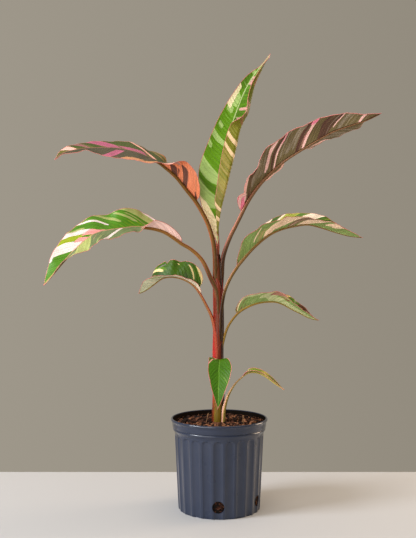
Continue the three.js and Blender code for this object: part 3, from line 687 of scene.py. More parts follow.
@dataclass(frozen=True)
class PottingMix:
    """The potting mix: a dark uneven bed covered in bark chips, with two broken sticks, and with crumbs on
    the ledge under the pot's lip and behind its drain holes."""

    pot: NurseryPot
    top: float = 0.144
    mound: float = 0.0015
    rise: float = 0.0025
    gap: float = 0.0004
    flare: float = 0.2
    shoulder: float = 0.003
    rough: float = 0.0013
    bed_shade: float = 0.12
    stick_shade: float = 0.62
    chips: int = 760
    chip_kinds: int = 6
    chip_lengths: tuple[float, ...] = (0.0035, 0.0045, 0.0055, 0.007, 0.009)
    chip_shades: tuple[float, ...] = (0.0, 0.05, 0.15, 0.3, 0.45, 0.6, 0.85)
    ledge_crumbs: int = 130
    drain_crumbs: int = 46
    sticks: tuple[tuple[Point, Point, float], ...] = (
        ((-0.024, -0.010, 0.140), (-0.018, -0.010, 0.163), 0.0015),
        ((0.0395, -0.027, 0.140), (0.040, -0.027, 0.1625), 0.002),
    )
    seed: int = 11
    rows: int = 60
    columns: int = 160

    def height(self, x: float, y: float) -> float:
        """The bed's height at a place in the pot."""
        wide = math.sin(x * 90 + 1.3) * math.cos(y * 110)
        fine = math.sin(x * 310 + y * 230) * math.sin(y * 370 - x * 120)
        heaped = self.mound * (1 - (x * x + y * y) / self.pot.foot**2)
        return self.top + heaped + self.rise * (0.5 * wide + 0.5 * fine)

    def model_bed(self) -> bpy.types.Object:
        """Models the bed as a filled body that reaches down inside the wall."""
        pot = self.pot
        neck = pot.inside(pot.flute_top) - self.gap
        edge = self.top - self.shoulder
        mouth = neck + self.flare * (edge - pot.flute_top)
        low = pot.floor + self.gap
        rows = [(mouth * i / self.rows, None) for i in range(self.rows + 1)]
        rows += [(neck + self.flare * (z - pot.flute_top), z) for z in np.linspace(edge, pot.flute_top, 5)]
        rows += [(pot.inside(z) - self.gap, z) for z in np.linspace(pot.flute_top - 0.002, low, 30)]
        rows += [(0.0, low)]
        points = np.zeros((len(rows), self.columns + 1, 3))
        for i, (radius, z) in enumerate(rows):
            for j in range(self.columns + 1):
                angle = 2 * math.pi * j / self.columns
                x, y = radius * math.cos(angle), radius * math.sin(angle)
                rough = noise.noise(Vector((x, y, z or 0)) * 240) * self.rough
                points[i, j] = (x, y, self.height(x, y) + rough if z is None else z)
        bed = tube_surface("potting_bed", points, {"shade": np.full(points.shape, self.bed_shade)})
        bed.data.materials.append(GroundBark("peat", "#080504", "#1c110a", "#44301c").build())
        return bed

    def chip_shapes(self, draw: random.Random) -> list[bpy.types.Mesh]:
        """Models a few rough chips of unit size, which the bed's chips are copied from."""
        shapes = []
        for _ in range(self.chip_kinds):
            deselect()
            bpy.ops.mesh.primitive_cube_add(size=1)
            chip = bpy.context.object
            edit(chip)
            bpy.ops.mesh.subdivide(number_cuts=1)
            bpy.ops.object.mode_set(mode="OBJECT")
            for vertex in chip.data.vertices:
                vertex.co *= 1 - 0.34 * max(0.0, vertex.co.length - 0.5)
                vertex.co += Vector([draw.uniform(-0.09, 0.09) for _ in range(3)])
            shapes.append(chip.data.copy())
            bpy.data.objects.remove(chip, do_unlink=True)
        return shapes

    def chip_places(self, draw: random.Random) -> list[Chip]:
        """The chips that cover the bed, set out on a spiral."""
        places = []
        reach = self.pot.inside(self.pot.flute_top) - 0.001
        for i in range(self.chips):
            radius = reach * math.sqrt(mix(0.03, 1, (i + 0.5) / self.chips))
            angle = i * GOLDEN_ANGLE + draw.uniform(0, 0.5)
            x, y = radius * math.cos(angle), radius * math.sin(angle)
            long = draw.choice(self.chip_lengths)
            size = (long, long * draw.uniform(0.45, 0.8), long * draw.uniform(0.3, 0.55))
            z = self.height(x, y) + draw.uniform(-0.0005, 0.0022)
            places.append(((x, y, z), size, draw.choice(self.chip_shades)))
        return places

    def ledge_places(self, draw: random.Random) -> list[Chip]:
        """The crumbs on the ledge under the lip, most of them at the back."""
        places = []
        inset, drop = self.pot.ledge
        radius, z = self.pot.rim - inset, self.pot.height - drop
        for i in range(self.ledge_crumbs):
            angle = math.radians(draw.uniform(10, 170) if i % 4 else draw.uniform(0, 360))
            long = draw.uniform(0.0008, 0.0024)
            spot = (radius * math.cos(angle), radius * math.sin(angle), z)
            places.append((spot, (long, long * 0.8, long * 0.5), draw.uniform(0.3, 0.7)))
        return places

    def drain_places(self, draw: random.Random) -> list[Chip]:
        """The crumbs that show through the drain holes."""
        places = []
        pot = self.pot
        for drain in pot.drains:
            for _ in range(self.drain_crumbs):
                off = pot.drain_radius * math.sqrt(draw.random())
                way = draw.uniform(0, 2 * math.pi)
                angle = math.radians(drain - 90) + off * math.cos(way) / pot.foot
                z = pot.drain_height + off * math.sin(way)
                radius = pot.inside(z) - draw.uniform(0.0005, 0.002)
                long = draw.uniform(0.002, 0.0045)
                spot = (radius * math.cos(angle), radius * math.sin(angle), z)
                places.append((spot, (long, long * 0.7, long * 0.6), draw.uniform(0.1, 0.75)))
        return places

    def model_chips(self) -> bpy.types.Object:
        """Scatters turned and leaning copies of the chips, and joins them into one piece."""
        draw = random.Random(self.seed)
        places = self.chip_places(draw) + self.ledge_places(draw) + self.drain_places(draw)
        shapes = self.chip_shapes(draw)
        joined = bmesh.new()
        shades = []
        for place, size, shade in places:
            copy = draw.choice(shapes).copy()
            lean = Matrix.Rotation(draw.uniform(-0.6, 0.6), 4, "X")
            lean = lean @ Matrix.Rotation(draw.uniform(-0.6, 0.6), 4, "Y")
            turn = Matrix.Rotation(draw.uniform(0, 2 * math.pi), 4, "Z")
            copy.transform(Matrix.Translation(place) @ turn @ lean @ Matrix.Diagonal((*size, 1)))
            joined.from_mesh(copy)
            shades += [shade] * len(copy.vertices)
            bpy.data.meshes.remove(copy)
        mesh = bpy.data.meshes.new("bark_chips")
        joined.to_mesh(mesh)
        joined.free()
        piece = bpy.data.objects.new("bark_chips", mesh)
        bpy.context.scene.collection.objects.link(piece)
        give(piece, "shade", np.repeat(np.array(shades)[:, None], 3, axis=1))
        bark = GroundBark("bark_chips_bark", "#0e0705", "#452416", "#a06e4e", grain=0.0016)
        piece.data.materials.append(bark.build())
        return piece

    def model_sticks(self) -> bpy.types.Object:
        """Stands the two broken sticks in the bed, each a rough thin rod."""
        deselect()
        noise.seed_set(self.seed)  # Unseeded, noise_vector would roughen the sticks anew in each run.
        rods = []
        for foot, tip, thick in self.sticks:
            way = Vector(tip) - Vector(foot)
            bpy.ops.mesh.primitive_cylinder_add(
                vertices=10,
                radius=thick / 2,
                depth=way.length,
                location=Vector(foot) + way / 2,
                rotation=way.to_track_quat("Z", "Y").to_euler(),
            )
            rod = bpy.context.object
            edit(rod)
            bpy.ops.mesh.subdivide(number_cuts=6)
            bpy.ops.object.mode_set(mode="OBJECT")
            for vertex in rod.data.vertices:
                vertex.co += noise.noise_vector(vertex.co * 300) * thick * 0.16
            rods.append(rod)
        for rod in rods:
            rod.select_set(True)
        bpy.ops.object.join()
        bpy.ops.object.transform_apply(location=True, rotation=True, scale=True)
        piece = bpy.context.object
        piece.name = "bark_sticks"
        give(piece, "shade", np.full((len(piece.data.vertices), 3), self.stick_shade))
        piece.data.materials.append(GroundBark("stick_bark", "#2c1a10", "#6a4a30", "#b08c64").build())
        return piece


class Route:
    """A smooth line through a few points, read by the share of its length."""

    def __init__(self, points: Sequence[Point], steps: int = 400) -> None:
        """Measures the line.

        Args:
            points: The points, in order.
            steps: How many short steps its length is measured in.
        """
        inner = [np.array(p) for p in points]
        self.points = np.array([2 * inner[0] - inner[1], *inner, 2 * inner[-1] - inner[-2]])
        self.spans = len(inner) - 1
        self.shares = np.linspace(0, 1, steps + 1)
        walked = np.linalg.norm(np.diff(self.raw(self.shares), axis=0), axis=1)
        self.lengths = np.concatenate([[0], np.cumsum(walked)])
        self.length = self.lengths[-1]

    def raw(self, shares: np.ndarray) -> np.ndarray:
        """Places on the line by the share of its spans."""
        x = np.asarray(shares) * self.spans
        i = np.minimum(x.astype(int), self.spans - 1)
        w = (x - i)[:, None]
        p0, p1, p2, p3 = (self.points[i + k] for k in range(4))
        d0, d1, d2 = (
            (np.linalg.norm(b - a, axis=1, keepdims=True) * 1000) ** 0.5
            for a, b in ((p0, p1), (p1, p2), (p2, p3))
        )
        start = ((p1 - p0) / d0 - (p2 - p0) / (d0 + d1) + (p2 - p1) / d1) * d1
        end = ((p2 - p1) / d1 - (p3 - p1) / (d1 + d2) + (p3 - p2) / d2) * d1
        square, cube = 3 * (p2 - p1) - 2 * start - end, 2 * (p1 - p2) + start + end
        return p1 + start * w + square * w**2 + cube * w**3

    def at(self, shares: np.ndarray) -> np.ndarray:
        """Places on the line by the share of its length."""
        return self.raw(np.interp(np.asarray(shares) * self.length, self.lengths, self.shares))

    def along(self, shares: np.ndarray) -> np.ndarray:
        """Directions of the line."""
        near = 1e-3
        ahead = self.at(np.minimum(shares + near, 1)) - self.at(np.maximum(shares - near, 0))
        return ahead / np.linalg.norm(ahead, axis=1, keepdims=True)

    def side(self) -> float:
        """The turn of up across the line: to the sky, or to the left on an upright or hanging line."""
        along = self.along(np.array([0.5]))[0]
        up = np.cross(along, FRONT)
        return -np.sign(up[0]) if abs(along[2]) > 0.8 else np.sign(up[2])

    def across(self, shares: np.ndarray, side: float) -> tuple[np.ndarray, np.ndarray]:
        """Up and front, seen across the line."""
        along = self.along(shares)
        front = FRONT + along * along[:, 1:2]
        front /= np.linalg.norm(front, axis=1, keepdims=True)
        return np.cross(along, front) * side, front


@dataclass(frozen=True)
class Half:
    """One half of a blade. Its greatest width, the share of the rib that it starts after, over which it fills
    out and how roundly, where it tapers and how late, and its turns: the share along the rib, the angle at
    the rib and at the margin, and where across it bends. 0 is up, 90 to the front and 180 down. The span is
    how widely that bend spreads. A tear is a notch in the margin by its place, depth and length along the
    rib, and with a minus depth the half gets wider there."""

    width: float
    delay: float
    rise: float
    fullness: float
    crown: float
    taper: float
    turns: tuple[tuple[float, ...], ...]
    span: float = 1.0
    tears: tuple[tuple[float, float, float], ...] = ()

    def width_at(self, t: np.ndarray) -> np.ndarray:
        """The half's width along the rib."""
        filled = np.clip((t - self.delay) / self.rise, 0, 1)
        tapered = np.maximum(0, t - self.crown) / (1 - self.crown)
        width = self.width * (1 - (1 - filled) ** 2) ** self.fullness * (1 - tapered**self.taper)
        for place, depth, length in self.tears:
            width = width * (1 - depth * np.exp(-(((t - place) / length) ** 2)))
        return width

    def turn(self, column: int, t: np.ndarray, missing: float = 0.0) -> np.ndarray:
        """One column of the turns along the rib."""
        return np.array([read(self.turns, column, share, missing) for share in t])


@dataclass(frozen=True)
class Patch:
    """A patch of colour on a blade: between two shares along the rib and two across a half, where minus is
    the far half, with how surely it covers the green there, how much narrower it gets at the rib, and how
    softly it ends, in metres along the rib and as a share across the half."""

    start: float
    end: float
    inner: float
    outer: float
    weight: float = 0.72
    point: float = 0.35
    soft_along: float = 0.004
    soft_across: float = 0.12

    def cover(self, t: np.ndarray, s: np.ndarray, length: float) -> np.ndarray:
        """How much of the patch lies at each place on a blade of this length."""
        soft = self.soft_along / length
        nip = self.point * (self.end - self.start) / 2 * np.clip(1 - 1.5 * np.abs(s), 0, 1)
        along = smooth((t - self.start - nip) / soft + 0.5) * smooth((self.end - nip - t) / soft + 0.5)
        low, high = sorted((self.inner, self.outer))
        across = smooth((s - low) / self.soft_across + 0.5) * smooth((high - s) / self.soft_across + 0.5)
        return self.weight * along * across


@dataclass(frozen=True)
class Leaf:
    """A leaf: its stalk from inside the stem to the blade, its blade along a rib, and its two faces' looks.

    Its patches are rows of a patch's values, by tone. The side veins lean along the rib by the vein lean. The
    root's dark and flush are how much of each the foot of the stalk has, as on the stem there, painted shade
    and light included. A hole is its share along the rib, how far across it lies, and half its length and
    width.
    """

    name: str
    slot: str
    stalk: tuple[Point, ...]
    rib: tuple[Point, ...]
    thick: tuple[float, float]
    wave: tuple[float, int, float]
    far: Half
    near: Half
    upper: BladeSkin
    under: BladeSkin
    skin: StalkSkin
    patches: dict[Tone, tuple[tuple[float, ...], ...]]
    base: tuple[float, ...] = (0.22, 0.2, 0.28, 0.28, 0.1)
    holes: tuple[tuple[float, float, float, float], ...] = ()
    narrow: float = 0.007
    tip_width: float = 0.0004
    blade: float = 0.0005
    pleat: float = 0.0066
    pleat_height: float = 0.0002
    pleat_fade: tuple[float, float] = (0.006, 0.005)
    vein_lean: float = 0.35
    vein_curve: float = 0.25
    root_dark: float = 0.0
    root_flush_and_light: float = 0.0
    groove: float = 0.42
    step: float = 0.0011

    def spread(self, t: np.ndarray) -> tuple[np.ndarray, dict[str, tuple[np.ndarray, ...]]]:
        """The blade's middle angle along the rib, and each half's width, angles and bend."""
        middle = (self.far.turn(1, t) + self.near.turn(1, t)) / 2
        halves = {}
        for side, half, flat in (("far", self.far, middle - 90), ("near", self.near, middle + 90)):
            width = np.maximum(half.width_at(t), self.tip_width)
            open_out = 1 - smooth(width / self.narrow)
            start, end = (mix(half.turn(column, t), flat, open_out) for column in (1, 2))
            halves[side] = (width, start, end, half.turn(3, t, 0.5))
        return middle, halves

    def section(
        self, half: Half, facts: tuple[np.ndarray, ...], columns: int, ripple: np.ndarray
    ) -> np.ndarray:
        """Places across one half in the plane of up and front.

        Args:
            half: The half.
            facts: Its width, angles and bend along the rib.
            columns: How many steps it takes to the margin.
            ripple: How high the margin's ripple is along the rib.

        Returns:
            Rows by columns by two, from the rib to the margin.
        """
        width, start, end, place = (fact[:, None] for fact in facts)
        fine = 4
        s = (np.arange(columns * fine) + 0.5)[None, :] / (columns * fine)
        angle = np.radians(mix(start, end, smooth((s - place) / half.span + 0.5)))
        pace = width / (columns * fine)
        walk = np.stack([np.cumsum(pace * np.cos(angle), 1), np.cumsum(pace * np.sin(angle), 1)], -1)
        lift = ripple[:, None] * s**2
        walk += np.stack([-lift * np.sin(angle), lift * np.cos(angle)], -1)
        return np.concatenate([np.zeros((len(width), 1, 2)), walk[:, fine - 1 :: fine]], 1)

    def surface(self) -> tuple[np.ndarray, np.ndarray, np.ndarray, np.ndarray, float]:
        """The blade's middle surface.

        Returns:
            The points by row and column, the shares along and across, the widths, and the rib's length.
        """
        route = Route(self.rib)
        rows = round(route.length / self.step)
        columns = max(8, round(max(self.far.width, self.near.width) / self.step))
        t = np.linspace(0, 1, rows + 1)
        up, front = route.across(t, route.side())
        _, halves = self.spread(t)
        far_width, near_width = halves["far"][0], halves["near"][0]
        height, count, phase = self.wave
        weak, quick = 0.35, 2.7
        rise = height * smooth(np.minimum(far_width, near_width) / (3 * self.narrow))
        sheets = []
        for name, half, shift in (("far", self.far, 0.0), ("near", self.near, 0.3)):
            ripple = rise * np.sin(2 * math.pi * (count * t + phase + shift))
            ripple += weak * rise * np.sin(2 * math.pi * (quick * count * t + 2 * phase - shift))
            plane = self.section(half, halves[name], columns, ripple)
            sheets.append(plane[..., :1] * up[:, None] + plane[..., 1:] * front[:, None])
        foot = route.at(t)[:, None]
        points = np.concatenate([foot + sheets[0][:, ::-1], foot + sheets[1][:, 1:]], 1)
        s = np.linspace(-1, 1, 2 * columns + 1)
        width = np.where(s[None, :] < 0, far_width[:, None], near_width[:, None])
        return points, t, s, width, route.length

    def model_blade(self) -> bpy.types.Object:
        """Models the blade: pleated along its side veins, thin, with a finish on each face and its rim."""
        points, t, s, width, length = self.surface()
        signed = s[None, :] * np.ones_like(width)
        share = np.abs(signed)
        reach = share * width
        veins = t[:, None] * length - reach * self.vein_lean - self.vein_curve * reach * share**2
        normal = np.cross(np.gradient(points, axis=0), np.gradient(points, axis=1))
        normal /= np.maximum(np.linalg.norm(normal, axis=-1, keepdims=True), 1e-12)
        by_rib, by_margin = self.pleat_fade
        fade = smooth(reach / by_rib) * smooth((width - reach) / by_margin)
        pleat = self.pleat_height * fade * np.sin(2 * math.pi * veins / self.pleat)
        points = points + normal * pleat[..., None]
        paint = np.zeros((*width.shape, len(Tone))) + np.array(self.base)
        for tone, rows in self.patches.items():
            for row in rows:
                paint[..., tone.value] += Patch(*row).cover(veins / length, signed, length)
        values = {
            "veins": np.stack([veins, reach * np.sign(signed), paint[..., Tone.DULL.value]], -1),
            "edge": np.stack([reach, width - reach, paint[..., Tone.PALE.value]], -1),
            "paint": paint[..., :3],
        }
        blade = grid_surface(self.name.replace("leaf", "blade"), points, values)
        self.face_up(blade, *points.shape[:2])
        for skin in (self.upper, self.under):
            blade.data.materials.append(skin.build())
        self.pierce(blade, length)
        apply(blade, "SOLIDIFY", thickness=self.blade, offset=0.0, material_offset=1)
        return blade

    def face_up(self, blade: bpy.types.Object, rows: int, columns: int) -> None:
        """Turns the blade's faces so that the first finish lies on its upper face."""
        row = rows // 2
        t = np.array([row / (rows - 1)])
        route = Route(self.rib)
        up, front = route.across(t, route.side())
        middle = math.radians(self.spread(t)[0][0])
        wanted = up[0] * math.cos(middle) + front[0] * math.sin(middle)
        face = row * (columns - 1) + columns // 2
        beside_rib = sum(np.array(blade.data.polygons[i].normal) for i in (face, face - 1))
        if np.dot(beside_rib, wanted) < 0:
            edit(blade, "FACE")
            bpy.ops.mesh.flip_normals()
            bpy.ops.object.mode_set(mode="OBJECT")

    def pierce(self, blade: bpy.types.Object, length: float) -> None:
        """Opens the blade's holes, which are placed by the rib's length."""
        if not self.holes:
            return
        mesh = bmesh.new()
        mesh.from_mesh(blade.data)
        layer = mesh.verts.layers.float_vector["veins"]
        doomed = []
        for face in mesh.faces:
            middle = sum((v[layer] for v in face.verts), Vector()) / len(face.verts)
            for place, across, long, wide in self.holes:
                if ((middle.x - place * length) / long) ** 2 + ((middle.y - across) / wide) ** 2 < 1:
                    doomed.append(face)
                    break
        bmesh.ops.delete(mesh, geom=doomed, context="FACES")
        mesh.to_mesh(blade.data)
        mesh.free()

    def model_stalk(self) -> bpy.types.Object:
        """Models the stalk and the rib under the blade as one tapering body with a groove along its top."""
        sides, stalk_rows, seat = 24, 60, 0.0001
        stalk, rib = Route((*self.stalk, self.rib[0])), Route(self.rib)
        side = rib.side()
        thick, thin = self.thick
        s = np.linspace(0, 1, stalk_rows, endpoint=False)
        t = np.linspace(0, 0.985, max(20, round(rib.length / 0.004)))
        middle, halves = self.spread(t)
        open_angle = halves["near"][1] - halves["far"][1]
        inner = np.where(open_angle > 180, np.sin(np.radians((360 - open_angle) / 2)), 1.0)
        rib_radius = mix(thin, 0.0005, t**0.7)
        stalk_radius = mix(thick, thin, smooth(s * 1.1 - 0.1))
        rib_up, rib_front = rib.across(t, side)
        stalk_up, stalk_front = stalk.across(s, side)
        angle = np.radians(middle)[:, None]
        rib_top = rib_up * np.cos(angle) + rib_front * np.sin(angle)
        stalk_top = stalk_up * np.cos(angle[0]) + stalk_front * np.sin(angle[0])
        drop = (rib_radius * 0.8 + self.blade / 2 + seat) / inner
        rib_centres = rib.at(t) - rib_top * drop[:, None]
        meet = rib_centres[0] - rib.at(t[:1])[0]
        stalk_centres = stalk.at(s) + smooth(s * 1.4 - 0.4)[:, None] * meet
        centres = np.concatenate([stalk_centres, rib_centres])
        tops = np.concatenate([stalk_top, rib_top])
        radii = np.concatenate([stalk_radius, rib_radius])
        groove = self.groove * np.concatenate([smooth(s * 3), 1 - smooth(t / 0.2)])
        turns = np.linspace(-math.pi, math.pi, sides + 1)
        wides = np.cross(np.concatenate([stalk.along(s), rib.along(t)]), tops)
        wides /= np.linalg.norm(wides, axis=1, keepdims=True)
        reach = radii[:, None] * (1 - groove[:, None] * np.exp(-((turns[None, :] / 0.6) ** 2)))
        points = (
            centres[:, None]
            + tops[:, None] * (reach * np.cos(turns))[..., None]
            + wides[:, None] * (reach * np.sin(turns))[..., None]
        )
        ends = (centres[0], rib.at(np.array([0.995]))[0])
        foot, tip = (np.broadcast_to(end, points[:1].shape) for end in ends)
        points = np.concatenate([foot, points, tip])
        values = self.stalk_values(points, turns, groove, stalk.length)
        piece = tube_surface(self.name.replace("leaf", "stalk"), points, values)
        piece.data.materials.append(self.skin.build())
        return piece

    def stalk_values(
        self, points: np.ndarray, turns: np.ndarray, groove: np.ndarray, length: float
    ) -> dict[str, np.ndarray]:
        """What the stalk's finish reads. Its left side is flushed and lighter, partly painted light, its
        right darker with painted shade, and the groove has lips.

        Args:
            points: The stalk's vertices by row and column.
            turns: Each column's turn round the stalk, from its top.
            groove: The groove's depth at each row between the two ends.
            length: The stalk's length up to the blade.

        Returns:
            The skin's places and the paint of each vertex, by name.
        """
        thick = self.thick[0]
        paces = np.linalg.norm(np.diff(points[:, 0], axis=0), axis=1)
        walked = np.concatenate([[0], np.cumsum(paces)])[:, None]
        lips = np.exp(-(((np.abs(turns) - 0.75) / 0.3) ** 2))
        held = np.concatenate([[0], groove, [0]])[:, None] / self.groove
        # Painted light and shade: the left side, towards the key light, is flushed and lighter, the right
        # darker.
        lean = (points - points.mean(axis=1, keepdims=True))[..., 0] / thick
        # The foot takes on the stem's flush or dark there, painted light and shade included.
        rooted = 1 - smooth((walked - 0.5 * length) / (0.3 * length))
        flush = np.maximum(0.95 * smooth((-lean - 0.15) / 0.6), self.root_flush_and_light * rooted)
        dark = np.maximum(0.9 * smooth((lean - 0.05) / 0.7), self.root_dark * rooted)
        flat = np.ones(points.shape[:2])
        skin = np.stack([turns * thick * flat, walked * flat, 0 * flat], -1)
        return {"skin": skin, "paint": np.stack([flush, lips * held, dark], -1)}


@dataclass(frozen=True)
class Sheath:
    """A leaf's sheath round the stem: its front margin, as heights with how far round it lies there in
    degrees from the front to the right, on which side of that margin the sheath lies, and how flushed and
    how dark it is, partly painted light and shade."""

    margin: tuple[tuple[float, float], ...]
    left: bool
    flush: float = 0.3
    dark: float = 0.3


@dataclass(frozen=True)
class Pseudostem:
    """The stem: the leaves' sheaths rolled one over another, each ending in a thin red margin."""

    axis: tuple[tuple[float, float, float, float], ...]
    sheaths: tuple[Sheath, ...]
    skin: StalkSkin
    lap: float = 0.0007
    margin: float = 0.0009
    crease_shade: float = 0.0012
    bare_flush: float = 0.12
    bare_dark: float = 0.3
    rows: int = 300
    columns: int = 144

    def model(self) -> bpy.types.Object:
        """Models the stem with a step at each margin, and paints the margins, each sheath's own tone, painted
        light on its left, and painted shade on its right, low on its left and in the creases.
        """
        route = Route([row[:3] for row in self.axis])
        centres = route.at(np.linspace(0, 1, self.rows))
        table = [(row[2], row[3]) for row in self.axis]
        turns = np.linspace(-180, 180, self.columns + 1)
        points = np.zeros((self.rows + 2, self.columns + 1, 3))
        paint = np.zeros_like(points)
        skin = np.zeros_like(points)
        for i, (x, y, z) in enumerate(centres, 1):
            radius = read(table, 1, z)
            for j, turn in enumerate(turns):
                lift, flush, lip, dark = self.laps(z, turn, radius)
                # Painted light: the flush on the left, above the base. Painted shade: the dark on the right,
                # and low on the left.
                left = smooth((-turn - 40) / 20)
                flushed_and_lit = 0.9 * smooth((-turn - 42) / 26) * smooth((z - 0.17) / 0.06)
                shaded = max(0.7 * left * smooth((0.2 - z) / 0.04), 0.98 * smooth((turn - 4) / 40))
                gold = smooth((0.215 - z) / 0.05) * (1 - 0.7 * left)
                angle, reach = math.radians(turn), radius + lift
                points[i, j] = (x + reach * math.sin(angle), y - reach * math.cos(angle), z)
                paint[i, j] = (max(flush, flushed_and_lit), lip, max(dark, shaded))
                skin[i, j] = (angle * radius, z, gold)
        points[0], points[-1] = centres[0], centres[-1]
        for values in (paint, skin):
            values[0], values[-1] = values[1], values[-2]
        piece = tube_surface("pseudostem", points, {"skin": skin, "paint": paint})
        piece.data.materials.append(self.skin.build())
        return piece

    def laps(self, z: float, turn: float, radius: float) -> tuple[float, float, float, float]:
        """The stem's surface at a height and a turn: its lift, flush, lip and darkness there.

        Args:
            z: The height.
            turn: Degrees from the front to the right.
            radius: The stem's radius there.

        Returns:
            How far the surface stands proud, how flushed it is, how near a margin, and how dark.
        """
        lift, flush, lip, dark = 0.0, self.bare_flush, 0.0, self.bare_dark
        for sheath in self.sheaths:
            if z > sheath.margin[-1][0]:
                continue
            edge = read(sheath.margin, 1, z)
            way = -1 if sheath.left else 1
            over = min((turn - edge) * way, 180 - turn * way) * math.radians(1) * radius
            if over > 0:
                risen = smooth(over / self.margin)
                lift, flush, lip, dark = self.lap * risen, sheath.flush, 1 - risen, sheath.dark
            # Painted shade in the crease just beyond a sheath's margin.
            elif over > -self.crease_shade:
                dark = max(dark, 0.75 * (1 + over / self.crease_shade))
        return lift, flush, lip, dark


